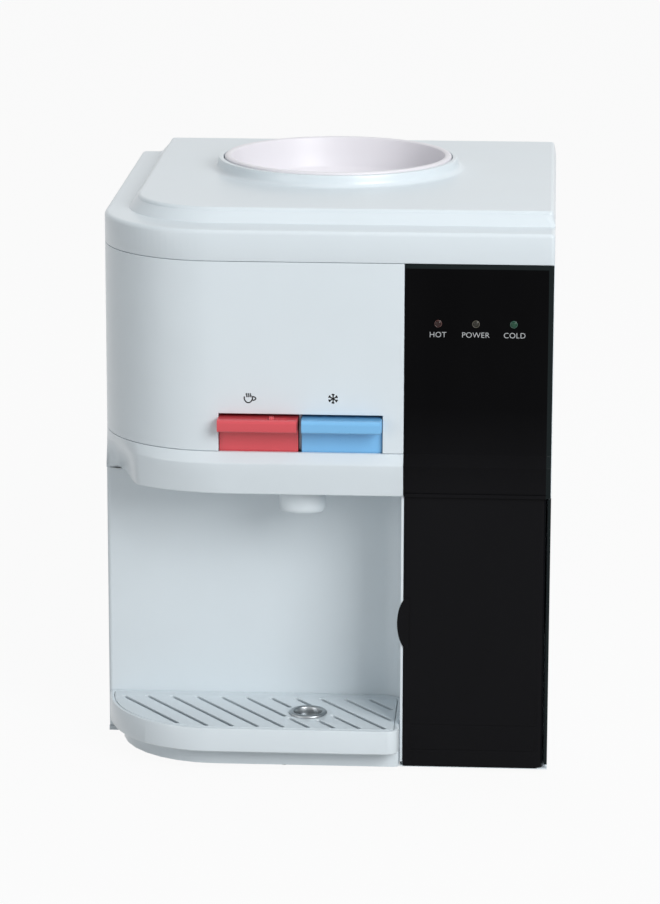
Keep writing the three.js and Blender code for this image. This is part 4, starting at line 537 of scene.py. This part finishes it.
# Spout: one oval shroud for both ways, whose foot rounds inwards. Two short ways stand in it.
# It hangs from a plate that carries the valves.
def ellipse(x, y, half_wide, half_deep, steps=64):
    """A closed oval about (x, y), without its last point."""
    return arc(x, y, half_wide, half_deep, 0, 360, steps)[:-1]


def turned(profile, x, y, axis=2, steps=32):
    """A profile of (radius, height) points turned about an axis through (x, y): each ring is the
    profile's point at every angle. A profile that starts off the axis is a closed loop."""
    profile = np.asarray(profile, float)
    angle = np.arange(steps) * 2 * np.pi / steps
    circle = np.stack([x + profile[:, :1] * np.cos(angle), y + profile[:, :1] * np.sin(angle)], -1)
    points = np.insert(circle.reshape(-1, 2), axis, np.repeat(profile[:, 1], steps), axis=1)
    return points, grid(len(profile), steps, close_rows=profile[0, 0] > 0, close_columns=True)


shroud_top, way_offset, plate_levels = 197.0, 5.4, (192.7, 196.7)
tip = np.array([(3.6, 0.6), (3.0, 0.0), (1.7, 0.25), (0.9, 1.0), (0.35, 2.2), (0.08, 3.6), (0, 5)])
shroud_rings = [ellipse(spout_x, spout_y, spout_wide - inset, spout_deep - inset)
                for inset in [*tip[:, 0], 0, 0, 4.2]]
shroud_heights = [*(spout_bottom + tip[:, 1]), chin_bottom, shroud_top, shroud_top]
shroud = tube_of([*shroud_rings, shroud_rings[0] * 0.98 + np.array([spout_x, spout_y]) * 0.02],
                 [*shroud_heights, spout_bottom + 3.0])
way_profile = [(2.6, spout_bottom + 1.7), (3.4, spout_bottom + 1.7), (3.6, spout_bottom + 2.2),
               (3.6, chin_bottom), (2.6, chin_bottom)]
ways = [turned(way_profile, spout_x + side * way_offset, spout_y) for side in (-1, 1)]
plate_low, plate_high = corners("spout")


def rounded(x0, x1, y0, y1, radii, steps=8):
    """A rectangle seen from above with a radius at each corner, anticlockwise from the front
    left."""
    corner_ways = [(x0, y0, 1, 1), (x1, y0, -1, 1), (x1, y1, -1, -1), (x0, y1, 1, -1)]
    return np.concatenate([
        arc(x + in_x * r, y + in_y * r, r, r, start, start + 90, steps)
        for (x, y, in_x, in_y), r, start in zip(corner_ways, radii, (180, 270, 0, 90))])


plate_outline = rounded(plate_low[0], plate_high[0], plate_low[1], plate_high[1], (3, 3, 3, 3))
valve_plate = run_along(plate_outline, 2, *plate_levels)
piece("spout_skin", "spout", white_casing, together(shroud, *ways, valve_plate), edge=0.25)

# Taps: two press levers side by side, red for hot and blue for cold, in satin plastic. Each has
# a hood that a finger presses down and a skirt that closes its window, and turns on a steel shaft.
red_lever = moulded("red_lever", "d24a53", 0.28, 0.04, 0.02, 0.25)
blue_lever = moulded("blue_lever", "78b9e8", 0.28, 0.04, 0.02, 0.25)
hood_top, hood_bottom, shaft_y, shaft_z, stem_y = 241.8, 233.4, -108.25, 236.0, -128.25
hood_back, skirt_foot, web_margin, web_thick = front - 1.1, 215.1, 4.5, 1.6
groove_left, groove_right, groove_y, groove_half, groove_deep = -37.3, -22.5, -161.25, 2.3, 1.6
presser_foot, presser_top = 235.0, hood_top - 1.2


def hood(x0, x1, grooved):
    """The hood's outline at each of its stations along X. The top sinks between the groove's
    ends."""
    cuts = [(groove_left, 0), (groove_left, groove_deep), (groove_right, groove_deep),
            (groove_right, 0)]
    stations, depths = zip((x0, 0), *(cuts if grooved else []), (x1, 0))
    upper_round = arc(front - 7.4, hood_top - 2.6, 2.6, 2.6, 90, 180, 10)
    lower_round = arc(front - 8.2, hood_bottom + 1.5, 1.5, 1.5, 180, 270, 6)
    groove_back, groove_front = groove_y + groove_half, groove_y - groove_half
    rings = []
    for depth in depths:
        top = [[hood_back, hood_top], [groove_back, hood_top], [groove_back, hood_top - depth],
               [groove_front, hood_top - depth], [groove_front, hood_top]]
        rings.append(np.concatenate([top, upper_round, lower_round, [[hood_back, hood_bottom]]]))
    count = len(rings[0])
    return capped(np.column_stack([np.repeat(stations, count), np.concatenate(rings)]), count)


neck = np.concatenate([
    [[front - 5, hood_bottom + 0.4]],
    arc(front + 1, hood_bottom - 2, 2, 2, 90, 0, 6),
    [[front + 3, skirt_foot], [front + 5.4, skirt_foot], [front + 5.4, hood_top - wall],
     [shaft_y, hood_top - wall], [shaft_y, hood_top], [front - 5, hood_top - 0.1]]])
web = [(front + 4, 221.5), (shaft_y - 4.4, shaft_z - 4.4), (shaft_y + 2.2, shaft_z - 2.2),
       (shaft_y, presser_top), (front + 4, presser_top)]
for name, slot, x0, x1, skirt_start, finish in (
        ("hot_lever", "red_lever", hot_left, hot_right, 0.4, red_lever),
        ("cold_lever", "blue_lever", cold_left, cold_right, -0.6, blue_lever)):
    shapes = [hood(x0 - 0.2, x1 - 0.8, name == "hot_lever"),
              run_along(neck, 0, x0 + skirt_start, x1 - 0.4)]
    inner_x0, inner_x1 = x0 + web_margin, x1 - web_margin
    shapes += [run_along(web, 0, x, x + web_thick) for x in (inner_x0, inner_x1 - web_thick)]
    shapes.append(turned(bar(2.2, 4.4, inner_x0, inner_x1), shaft_y, shaft_z, axis=0))
    presser = [(0, presser_foot), (2.2, presser_foot), (4, presser_top), (0, presser_top)]
    shapes.append(turned(presser, (x0 + x1) / 2, stem_y, steps=24))
    piece(name + "_skin", name, finish, together(*shapes), edge=0.5)


# Child lock: a slider in the lever's red plastic, snapped into the groove of the hot lever's
# hood. Its nub is ribbed for the finger.
def over_groove(half_foot, half_top, low, high, x0, x1):
    """A bar along X that narrows upwards. Its heights count from the hood's top."""
    low, high = hood_top + low, hood_top + high
    return run_along([(groove_y - half_foot, low), (groove_y + half_foot, low),
                      (groove_y + half_top, high), (groove_y - half_top, high)], 0, x0, x1)


lock_foot = over_groove(2, 2, -1.3, -0.15, -36.9, -28.9)
lock_body = over_groove(1.7, 0.8, -0.3, 1.5, -34.4, -31.6)
lock_ribs = [over_groove(2, 1, -0.3, 1.8, x, x + 0.6) for x in (-34.4, -33.3, -32.2)]
piece("child_lock_skin", "child_lock", red_lever, together(lock_foot, lock_body, *lock_ribs),
      edge=0.25)


# Tap works behind the windows: bracket, valves and stems in grey acetal, a steel shaft, and steel
# springs.
def metal(name, colour, roughness, drag=None, flecks=0.08):
    """Bare metal: fine scratches that are drawn out along one way, and uneven polish."""
    finish = Finish(name, Metallic=1.0, Base_Color=(*shade(colour), 1))
    lines = finish.cloud(0.8, 2.0, drag) if drag else finish.cloud(3, 2.0)
    finish.feed("Roughness", lines * flecks + (roughness - flecks / 2))
    finish.rough_up(lines, 0.01)
    return finish.material


grey_plastic = moulded("grey_plastic", "8f959a", 0.55, 0.05, 0.03)
steel = metal("plated_steel", "b9bdc0", 0.3, (1, 1, 0.05))
for node in ("tap_bracket", "hot_valve", "cold_valve", "hot_stem", "cold_stem"):
    soften(node, grey_plastic, 0.25)
soften("lever_shaft", steel, 0.2)
stem_travel = 3.2
for side in ("hot", "cold"):
    spring = soften(side + "_spring", steel, 0.0)
    low, high = corners(side + "_spring")
    foot = np.array([*(low[:2] + high[:2]) / 2, low[2]]) / 1000
    float(1 - stem_travel / (high[2] - low[2]))
    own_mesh(spring)


# Lamp panel: the upper half of the dark column, in black gloss plastic. Its edges slope back
# all round, and it carries on the chin's lip.
def gloss_black():
    """Black piano gloss with wiping smears. Painted sheen makes it lighter towards the bottom, and
    a painted highlight makes the sloped top border and the right edges paler. A shader reads places
    in metres."""
    sheen_start, sheen_full, highlight_x, highlight_z = 0.25, 0.19, 0.1464, 0.3421
    finish = Finish("black_gloss", Specular_IOR_Level=0.035)
    x, z = (finish.node("ShaderNodeSeparateXYZ", None, {"Vector": finish.place()}, axis)
            for axis in (0, 2))
    smear = finish.cloud(45, 3.0, (1, 1, 0.45))
    # Painted sheen: below 250 mm the black is made lighter, fully so from 190 mm down, in place of
    # reflected light. The smears mixed in with it are real wiping marks.
    low = finish.node("ShaderNodeMapRange", None,
                      {"Value": z, "From Min": sheen_start, "From Max": sheen_full})
    smears_and_sheen = finish.tint(low * 0.75 + smear * 0.25, shade("030304"), shade("161618"))
    # Painted highlight: the sloped top border and the edges right of 146.4 mm are coloured paler,
    # in place of the light they catch.
    in_painted_highlight = (x > highlight_x).highest(z > highlight_z)
    finish.feed("Base Color", finish.node(
        "ShaderNodeMix", {"data_type": "RGBA"},
        {"Factor": in_painted_highlight, 6: smears_and_sheen, 7: (*shade("1b2122"), 1)}, output=2))
    finish.feed("Roughness", smear * 0.16 + 0.06)
    finish.rough_up(finish.cloud(30, 1.0), 0.05)
    return finish.material


black_gloss = gloss_black()
panel_left, panel_right, panel_top, border, border_depth = 53.3, 149.7, 345.0, 3.0, 0.7
panel_columns = np.array([panel_left, panel_left + border, 76.0, 100.0, 124.0,
                          panel_right - border, panel_right])
panel_profile = np.array([(panel_top, 0), (panel_top - border, 0), (306, 0), (260, 0),
                          (chin_seam + 1.5, 0), (chin_seam, 0), (chin_crease, lip_proud),
                          (chin_bottom, foot_proud)])
from_side = np.minimum(panel_columns - panel_left, panel_right - panel_columns)
side_slope = border_depth * np.clip(1 - from_side / border, 0, 1)
top_slope = border_depth * np.clip(1 - (panel_top - panel_profile[:, 0]) / border, 0, 1)
panel_face = front - panel_profile[:, 1:] + np.maximum(side_slope[None, :], top_slope[:, None])
panel_points = np.column_stack([
    np.tile(panel_columns, len(panel_profile)), panel_face.ravel(),
    np.repeat(panel_profile[:, 0], len(panel_columns))])
piece("lamp_panel_skin", "lamp_panel", black_gloss,
      (panel_points, grid(len(panel_profile), len(panel_columns))[:, ::-1]),
      wall=3.0 - border_depth, edge=0.3, bend=9)
panel_foot = bar(front - 2.0, front + 14, chin_bottom, chin_bottom + wall)
piece("lamp_panel_flange", None, black_gloss,
      run_along(panel_foot, 0, panel_left + 0.4, panel_right - 2.6), edge=0.2, body="casing")


# Lamps: three lenses of tinted plastic pressed into the panel, with a thin moulded rim round
# each. They are unlit, so their colour is dull.
def lens(name, colour):
    """Tinted plastic over a dark hole."""
    finish = Finish(name, Roughness=0.12, Specular_IOR_Level=0.3)
    deep = np.array(shade(colour))
    finish.feed("Base Color", finish.tint(finish.cloud(1.6), deep * 0.4, deep * 1.3))
    return finish.material


lamp_z = 306.0
for name, x, colour, rim, slot in (("hot", 75.0, "2a110f", "4a2723", "lens_red"),
                                   ("power", 99.5, "292820", "4a473a", "lens_amber"),
                                   ("cold", 124.0, "184a35", "1f5040", "lens_green")):
    cap = [(0, front - 0.5), (1.1, front - 0.45), (1.7, front - 0.25), (1.95, front + 0.1),
           (1.95, front + 3.3), (3.1, front + 3.3), (3.1, front + 9.7), (0, front + 9.7)]
    piece("lamp_" + name + "_skin", "lamp_" + name, lens("lens_" + name, colour),
          turned(cap, x, lamp_z, axis=1), bend=50)
    collar = [(2.0, front + 0.2), (2.0, front - 0.28), (2.15, front - 0.36), (2.4, front - 0.2),
              (2.5, front + 0.2)]
    piece("lamp_" + name + "_ring", None, moulded("lamp_rim_" + name, rim, 0.35, 0.1, 0.01),
          turned(collar, x, lamp_z, axis=1), body="casing")

# Words under the lamps and signs over the taps: thin printed ink, in pale grey on the black
# panel and black on the white front.
pale_ink = moulded("pale_ink", "bfc2c4", 0.5, 0.04, 0.0)
dark_ink = moulded("dark_ink", "060708", 0.45, 0.1, 0.0)
word_z, word_high, pen = 298.8, 3.45, 0.95


def drawn(curve):
    """The mesh of a curve, and its points."""
    source = put(curve.name + "_drawing", curve)
    bpy.context.view_layer.update()
    settled = source.evaluated_get(bpy.context.evaluated_depsgraph_get())
    mesh = bpy.data.meshes.new_from_object(settled)
    bpy.data.objects.remove(source)
    points = np.empty(len(mesh.vertices) * 3)
    mesh.vertices.foreach_get("co", points)
    return mesh, points.reshape(-1, 3)


def printed(name, curve, centre, finish, body="casing", height=None):
    """A flat curve as a thin mesh that stands on the front: centred, its X along X and its Y
    upwards, scaled to a height in millimetres where one is given."""
    mesh, points = drawn(curve)
    low, high = points.min(axis=0), points.max(axis=0)
    scale = height / (high[1] - low[1]) if height else 1.0
    flat = (points - (low + high) / 2) * scale
    depth = np.where(points[:, 2] > (low[2] + high[2]) / 2, front - 0.06, front + 0.1)
    placed = np.column_stack([flat[:, 0] + centre[0], depth, flat[:, 1] + centre[1]]) / 1000
    mesh.vertices.foreach_set("co", placed.ravel())
    mesh.materials.clear()
    mesh.materials.append(finish)
    mesh.name = name
    made = put(name, mesh)
    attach(made, body)


for word, x in (("HOT", 75.0), ("POWER", 99.5), ("COLD", 124.6)):
    text = bpy.data.curves.new(word, "FONT")
    text.body = word
    text.align_x = "CENTER"
    text.size = 5.4
    text.space_character = 1.04
    text.offset = -0.07
    text.extrude = 0.05
    printed("word_" + word.lower(), text, (x, word_z), pale_ink, height=word_high)


def add_line(curve, line, closed):
    """A line of (x, y) points put into a curve."""
    spline = curve.splines.new("POLY")
    spline.points.add(len(line) - 1)
    spline.points.foreach_set(
        "co", np.column_stack([line, np.zeros(len(line)), np.ones(len(line))]).ravel())
    spline.use_cyclic_u = closed


def strokes(name, lines):
    """A curve of open lines drawn with a round pen."""
    curve = bpy.data.curves.new(name, "CURVE")
    curve.dimensions = "3D"
    curve.bevel_depth = pen / 2
    curve.bevel_resolution = 2
    curve.use_fill_caps = True
    for line in lines:
        add_line(curve, line, False)
    return curve


mug = np.concatenate([[[-3.9, 1.0]], arc(-1.3, 0.5, 2.7, 3.6, 190, 350, 16), [[1.3, 1.0]]])
handle = arc(1.3, -0.3, 2.3, 1.3, 95, -85, 12)
wave, rise = 0.25 * np.sin(np.linspace(0, 2 * np.pi, 14)), np.linspace(0.6, 3.2, 14)
steam = [np.column_stack([x + wave, rise]) for x in (-2.5, -1.2, 0.1)]
printed("cup_sign", strokes("cup", [mug, handle, *steam]), (-47.4, 254.6), dark_ink)
arms = []
for turn in np.radians([0, 60, 120]):
    way, over = np.array([np.sin(turn), np.cos(turn)]), np.array([np.cos(turn), -np.sin(turn)])
    arms.append(np.array([-3.2 * way, 3.2 * way]))
    for end in (-1, 1):
        arms += [np.array([end * 2.2 * way, end * 3.1 * way + side * 0.8 * over])
                 for side in (-1, 1)]
printed("snowflake_sign", strokes("snowflake", arms), (6.9, 255.0), dark_ink)

# Column door: black gloss like the panel over it, hung on a pin at the right. A rounded tab
# stands out of its left edge, and two faint grooves cross its foot. A black trim beside it is
# clipped over the side panel's front edge.
door_left, door_right, door_low, door_high = 54.0, 146.9, 4.4, 189.6
groove_levels, pin_x, pin_y, knuckle_high = np.array([15.8, 33.3]), 142.9, -152.25, 14
groove_steps = (groove_levels[:, None] + [-0.7, -0.35, 0.35, 0.7]).ravel()
door_rows = np.unique(np.round([door_low, 60, 120, door_high, *groove_steps], 3))
door_bend = arc(door_right - 3.7, front + 3.7, 3.7, 3.7, 270, 360, 8)
door_path = np.concatenate([
    [[door_left, front], [door_left + 5, front], [door_right - 6, front]], door_bend])
in_groove = np.abs(door_rows[:, None] - groove_levels).min(axis=1) < 0.5
door_points, door_faces = sheet(door_path, door_rows)
inner_part = (door_points[:, 0] > door_left + 4) & (door_points[:, 0] < door_right - 5)
door_points[:, 1] += np.repeat(in_groove, len(door_path)) * inner_part * 0.35
tab_z, tab_reach, tab_half = 103.5, 4.4, 17.5
tab = np.concatenate([arc(door_left + 3, tab_z, tab_reach + 3, tab_half, 90, 270, 28),
                      [[door_left + 3.5, tab_z - tab_half], [door_left + 3.5, tab_z + tab_half]]])
knuckles = [turned(bar(1.7, 3.2, z, z + knuckle_high), pin_x, pin_y) for z in (7.4, 175.2)]
piece("column_door_skin", "column_door", black_gloss, (door_points, door_faces), wall=3.9,
      edge=0.5)
door_rib = bar(door_left + 4, door_left + 5.6, door_low + 4, door_high - 4)
piece("door_tab", None, black_gloss,
      together(run_along(tab, 1, front - 1.0, front - 0.2),
               run_along(door_rib, 1, front + 3, front + 9), *knuckles), edge=0.3, body="door")
trim = rounded(right - wall, right, front, front + 3.1, (0.9, 0.9, 0.01, 0.01))
piece("edge_trim", None, black_gloss, run_along(trim, 2, floor_top + gap, chin_bottom - gap),
      edge=0.2, body="casing")
soften("door_hinge_pin", steel, 0.15)
cupboard_grey = moulded("cupboard_grey", "7f8589", 0.5, 0.05, 0.04)
soften("cupboard_liner", cupboard_grey, 0.5)

# Drip tray: a shallow basin that slides in over the plinth, with a rounded rim and a ledge that
# the grille rests on. White gloss plastic.
nose_end, nose_back, tray_proud, tray_inset, tray_run = 51.5, -90.55, 16.5, 1.5, 74.5


def nose(inset, run, proud, right_end, right_corner, back_y, steps=40):
    """The outline of the rounded front: a quarter oval at the left, a straight front, a small
    right corner, and a back right corner that keeps 14 mm inside the bay's corner."""
    front_y = front - proud
    inner = 14 - (bay_right - right_end)
    return np.concatenate([
        arc(left + inset + run, back_y, run, back_y - front_y, 180, 270, steps),
        arc(right_end - right_corner, front_y + right_corner, right_corner, right_corner,
            270, 360, 10),
        arc(right_end - inner, back_y - inner, inner, inner, 0, 90, 10)])


def tray_ring(inwards):
    """The tray's outline, drawn in by a distance."""
    return nose(tray_inset + inwards, tray_run - inwards, tray_proud - inwards,
                nose_end - inwards, 8 - min(inwards, 7), nose_back - inwards)


tray_insets, tray_heights = np.array([
    (0.8, 16.8), (0, 17.6), (0, 32.2), (0.3, 33.0), (1.0, 33.3), (2.4, 33.3), (3.0, 32.9),
    (3.0, 30.4), (5.0, 30.4), (5.2, 20.0), (6.0, 19.0)]).T
tray_rings = [tray_ring(inwards) for inwards in tray_insets]
ring_size = len(tray_rings[0])
tray_points = np.column_stack([np.concatenate(tray_rings), np.repeat(tray_heights, ring_size)])
piece("drip_tray_skin", "drip_tray", white_casing, capped(tray_points, ring_size), bend=40)


# Drip grille: a plate with slanting slots that stop on a line inside its edge, and a plain pad
# round the drain ring. Moulded in the casing's white.
def cut_plate(name, outline, holes, low, high, edge, finish, node=None, body=None):
    """A flat plate with holes: its outlines filled, given depth and a small round on every edge."""
    curve = bpy.data.curves.new(name, "CURVE")
    curve.dimensions = "2D"
    curve.fill_mode = "BOTH"
    curve.extrude = (high - low) / 2 - edge
    curve.bevel_depth = edge
    curve.bevel_resolution = 2
    curve.offset = -edge
    for line in (outline, *holes):
        add_line(curve, line, True)
    mesh, points = drawn(curve)
    faces = [list(face.vertices) for face in mesh.polygons]
    points = points + [0, 0, (low + high) / 2]
    return piece(name, node, finish, (points, faces), bend=50, body=body)


slot_pitch, slot_start, slot_angle, slot_wide = 16.9, 10.5, -53.8, 2.8
slot_way = np.array([np.cos(np.radians(slot_angle)), np.sin(np.radians(slot_angle))])
slot_side = [slot_way[1], -slot_way[0]]
ring_x, ring_y, ring_pad, field_right, field_back = -10.6, -134.75, 17.0, 45.5, -102.65
field = nose(12, 66, 10.4, field_right, 4, field_back, 60)


def slot_ends(start):
    """Where a slot's middle line, from its start on the field's back forwards and to the right,
    enters and leaves the field: the line's crossings with the outline, as distances along it."""
    side, along = (field - start) @ slot_side, (field - start) @ slot_way
    next_side, next_along = np.roll(side, -1), np.roll(along, -1)
    crossed = (side < 0) != (next_side < 0)
    share = side[crossed] / (side[crossed] - next_side[crossed])
    return along[crossed] + share * (next_along[crossed] - along[crossed])


slots, slot_half = [], slot_wide / 2
for x in np.arange(left + slot_start, field_right, slot_pitch):
    start = np.array([x, field_back])
    ends = slot_ends(start)
    if len(ends) < 2:
        continue
    low, high = max(ends.min(), 0) + 1, ends.max() - 1
    to_ring = np.array([ring_x, ring_y]) - start
    middle, off = to_ring @ slot_way, abs(to_ring @ slot_side)
    spans = [(low, high)]
    if off < ring_pad:
        half = np.sqrt(ring_pad ** 2 - off ** 2) + 1
        spans = [(low, min(high, middle - half)), (max(low, middle + half), high)]
    for near, far in spans:
        if far - near > 3:
            slots.append(np.concatenate([
                arc(*(start + end * slot_way), slot_half, slot_half, first, first + 180, 6)
                for end, first in ((far, slot_angle - 90), (near, slot_angle + 90))]))
grille_ring = tray_ring(3.4)
keep = np.linalg.norm(grille_ring - np.roll(grille_ring, 1, axis=0), axis=1) > 0.05
cut_plate("drip_grille_skin", grille_ring[keep], [*slots, ellipse(ring_x, ring_y, 11.8, 11.8)],
          30.7, 33.3, 0.35, white_casing, node="drip_grille")

# Drain ring: a bright flanged steel bush that snaps into the grille. Its profile is turned, and a
# strainer with sixteen holes lies across it.
chrome = metal("chrome_ring", "9ba0a3", 0.3, None, 0.1)
ring_profile = [(9.2, 28.8), (11.4, 28.8), (11.4, 33.6), (12.8, 33.6), (12.75, 34.1), (12.3, 34.6),
                (11.7, 34.95), (11.0, 35.1), (10.3, 34.95), (9.6, 34.5), (9.25, 33.9)]
piece("drain_ring_skin", "drain_ring", chrome, turned(ring_profile, ring_x, ring_y, steps=96),
      bend=50)
drains = [ellipse(x, y, 0.8, 0.8, 16)
          for radius, count in ((2.6, 5), (5.8, 11))
          for x, y in ellipse(ring_x, ring_y, radius, radius, count)]
cut_plate("strainer", ellipse(ring_x, ring_y, 9.3, 9.3), drains, 28.9, 29.7, 0.15, chrome,
          body="grille")

# Top cover: a ledge round the left and the front, a plateau that leans in a little, and the
# collar of the bottle well. White gloss plastic, dropped over the side panels.
well_x, well_y = -1.0, 37.75
ledge_top, plateau_top, collar_top, seat_z, underside = 365.6, 375.1, 383.1, 372.1, 369.7
side_ledge, front_ledge, plateau_corner, lean, far_share = 15, 25, 63, 6.0, 0.2
lid_round, plateau_round = 3, 2.4


def lid_line(inset):
    """The ledge's outline, drawn in by a distance."""
    small = max(3 - inset, 0.3)
    return rounded(left + inset, right - inset, front + inset, back_of_sides - inset,
                   (head_corner - inset, small, small, small), 24)


def plateau_line(inset, share=1.0):
    """The plateau's outline, drawn in by a share of its riser's lean, which is less at the right
    and at the back."""
    small, slope = max(3 - inset, 0.3), lean * share
    shift, far_shift = slope + inset, far_share * slope + inset
    return rounded(left + side_ledge + shift, right - far_shift, front + front_ledge + shift,
                   rear_face - far_shift, (plateau_corner - shift, small, small, small), 24)


cover_angles = np.unique(np.round(np.concatenate([
    np.linspace(-np.pi, np.pi, 241)[:-1],
    *[np.arctan2(line[:, 1] - well_y, line[:, 0] - well_x)
      for line in (lid_line(0), lid_line(2), plateau_line(0, 0), plateau_line(0),
                   plateau_line(2))]]), 5))


def reach(line):
    """How far a convex outline lies from the well's axis in each direction: for the side from p
    to q that a direction d meets, the cross product of p and q over that of d and q - p."""
    p = line - [well_x, well_y]
    p = p[np.argsort(np.arctan2(p[:, 1], p[:, 0]))]
    bearing = np.arctan2(p[:, 1], p[:, 0])
    q = np.roll(p, -1, axis=0)
    side = (np.searchsorted(bearing, cover_angles, side="right") - 1) % len(p)
    a, b = p[side], q[side] - p[side]
    crossed = np.cos(cover_angles) * b[:, 1] - np.sin(cover_angles) * b[:, 0]
    return (a[:, 0] * b[:, 1] - a[:, 1] * b[:, 0]) / crossed


even = np.ones(len(cover_angles))
turns = np.radians(np.linspace(90, 0, 8))
cover_rows = [(even * radius, z) for radius, z in (
    (74.8, 370.0), (74.8, 371.8), (75.1, seat_z), (79.1, seat_z), (79.4, 372.4), (79.4, 382.6),
    (79.55, 382.95), (79.9, collar_top), (82.2, collar_top), (82.55, 382.95), (82.8, 382.5),
    (83.1, 381.0), (83.4, 378.9), (83.65, 377.5), (84.35, 376.3), (85.5, 375.45), (87.2, 375.12),
    (88.2, plateau_top))]
cover_rows.append((reach(plateau_line(2.9)), plateau_top))
cover_rows += [(reach(plateau_line(plateau_round * (1 - np.cos(turn)))),
                plateau_top - plateau_round * (1 - np.sin(turn))) for turn in turns]
plateau_foot = reach(plateau_line(0, 0))
cover_rows += [(reach(plateau_line(0, 0.2)), ledge_top + 1.6),
               (reach(plateau_line(0, 0.06)), ledge_top + 0.6), (plateau_foot, ledge_top + 0.15)]
cover_rows.append((np.maximum(reach(lid_line(3.5)), plateau_foot), ledge_top))
cover_rows += [(np.maximum(reach(lid_line(lid_round * (1 - np.cos(turn)))), plateau_foot),
                ledge_top - lid_round * (1 - np.sin(turn))) for turn in turns]
outermost = np.maximum(reach(lid_line(0)), plateau_foot)
cavity = np.maximum(reach(lid_line(wall)), reach(plateau_line(wall)))
inner_line = reach(plateau_line(wall))
cover_rows += [(outermost, lid_seam + 0.5), (outermost - 0.15, lid_seam + 0.15),
               (outermost - 0.5, lid_seam), (cavity, lid_seam), (cavity, ledge_top - wall),
               (inner_line, ledge_top - wall), (inner_line, plateau_top - wall),
               (even * 85.5, plateau_top - wall), (even * 83.4, underside),
               (even * 75.1, underside)]
cover_points = np.concatenate([np.column_stack([
    well_x + radius * np.cos(cover_angles), well_y + radius * np.sin(cover_angles), even * z])
    for radius, z in cover_rows])
piece("top_cover_skin", "top_cover", white_casing,
      (cover_points, grid(len(cover_rows), len(cover_angles), True, True)))

# Bottle receptacle: a funnel that drops into the collar, with a rolled rim and a neck socket at
# its foot. White gloss plastic, a little warmer than the casing.
warm_white = moulded("receptacle_white", "e7e5ea", 0.42)
funnel = [(76.3, 384.5), (77.4, 384.35), (78.2, 383.95), (78.7, 383.1), (78.7, 372.4),
          (74.1, 372.4), (72.5, 363.1), (34.6, 326.7), (34.6, 310.7), (8.7, 310.7), (8.7, 313.1),
          (32.2, 313.1), (32.2, 329.1), (33.2, 330.4), (69.4, 363.2), (70.2, 364.6), (71.7, 374.5),
          (73.9, 383.8), (74.9, 384.3)]
piece("bottle_receptacle_skin", "bottle_receptacle", warm_white,
      turned(funnel, well_x, well_y, steps=160), edge=0.5, bend=28)

# Feed probe: a hollow spike that opens the bottle's cap and leads its water down. It stands in
# the receptacle's foot and has its white.
soften("feed_probe", warm_white, 0.4)

# Works inside the casing: the cold tank in its foam, the cooling module, its block, heat sink and
# fan, the hot tank with its heater band, the power supply and the hoses.
tank_steel = metal("tank_steel", "b9bcbd", 0.28)
aluminium = metal("aluminium", "c3c6c8", 0.4)
foam = moulded("foam", "eceade", 0.95, 0.05, 0.3)
silicone = moulded("silicone", "d9d7d0", 0.45, 0.04, 0.01)
ceramic = moulded("module_ceramic", "efeeea", 0.6, 0.02, 0.02)
dark_plastic = moulded("dark_plastic", "1d1e20", 0.42, 0.1, 0.03)
board_green = moulded("circuit_board", "1c5a3a", 0.45, 0.12, 0.02)
for node, finish, edge, slot in (
        ("lamp_board", board_green, 0.15, "circuit_board"),
        ("tank_deck", grey_plastic, 0.4, "grey_plastic"),
        ("cold_tank", tank_steel, 0.5, "tank_steel"),
        ("cold_tank_lid", silicone, 0.5, "silicone"),
        ("foam_lower", foam, 1.0, "foam"),
        ("foam_upper", foam, 1.0, "foam"),
        ("cold_block", aluminium, 0.4, "aluminium"),
        ("cooling_module", ceramic, 0.15, "module_ceramic"),
        ("heat_sink", aluminium, 0.12, "aluminium"),
        ("fan_frame", dark_plastic, 0.4, "dark_plastic"),
        ("fan_rotor", dark_plastic, 0.15, "dark_plastic"),
        ("hot_tank", tank_steel, 0.5, "tank_steel"),
        ("hot_tank_stand", steel, 0.4, "plated_steel"),
        ("heater_band", tank_steel, 0.3, "tank_steel"),
        ("power_supply", steel, 0.4, "plated_steel"),
        ("cold_outlet_hose", silicone, 0.0, "silicone"),
        ("hot_outlet_hose", silicone, 0.0, "silicone"),
        ("hot_feed_hose", silicone, 0.0, "silicone")):
    soften(node, finish, edge)

# Rear: the cover with its fan grille and vents, held by six screws, the twin switch, the mains
# inlet and the drain with its ribbed cap.
pale_grey = moulded("grey_switch", "8d9296", 0.4, 0.05, 0.02)
switch_red = moulded("red_switch", "b5232a", 0.35, 0.08, 0.02)
for node, finish, edge, slot in (
        ("rear_cover", white_casing, 0.4, "white_casing"),
        ("switch_housing", dark_plastic, 0.4, "dark_plastic"),
        ("hot_switch", switch_red, 0.3, "red_switch"),
        ("cold_switch", pale_grey, 0.3, "grey_switch"),
        ("power_inlet", dark_plastic, 0.3, "dark_plastic"),
        ("drain_pipe", silicone, 0.3, "silicone"),
        ("drain_cap", pale_grey, 0.3, "grey_switch")):
    soften(node, finish, edge)
screw_head = [(0, rear_face + 0.35), (0.7, rear_face + 0.4), (1.0, rear_face + 1.15),
              (2.0, rear_face + 0.95), (2.9, rear_face + 0.4), (3.0, rear_face), (0, rear_face)]
screw_places = [(x, z) for x in (-121, 131) for z in (22, 180, 332)]
for number, (x, z) in enumerate(screw_places):
    piece("rear_screw_%d" % number, None, steel, turned(screw_head, x, z, axis=1), body="casing")
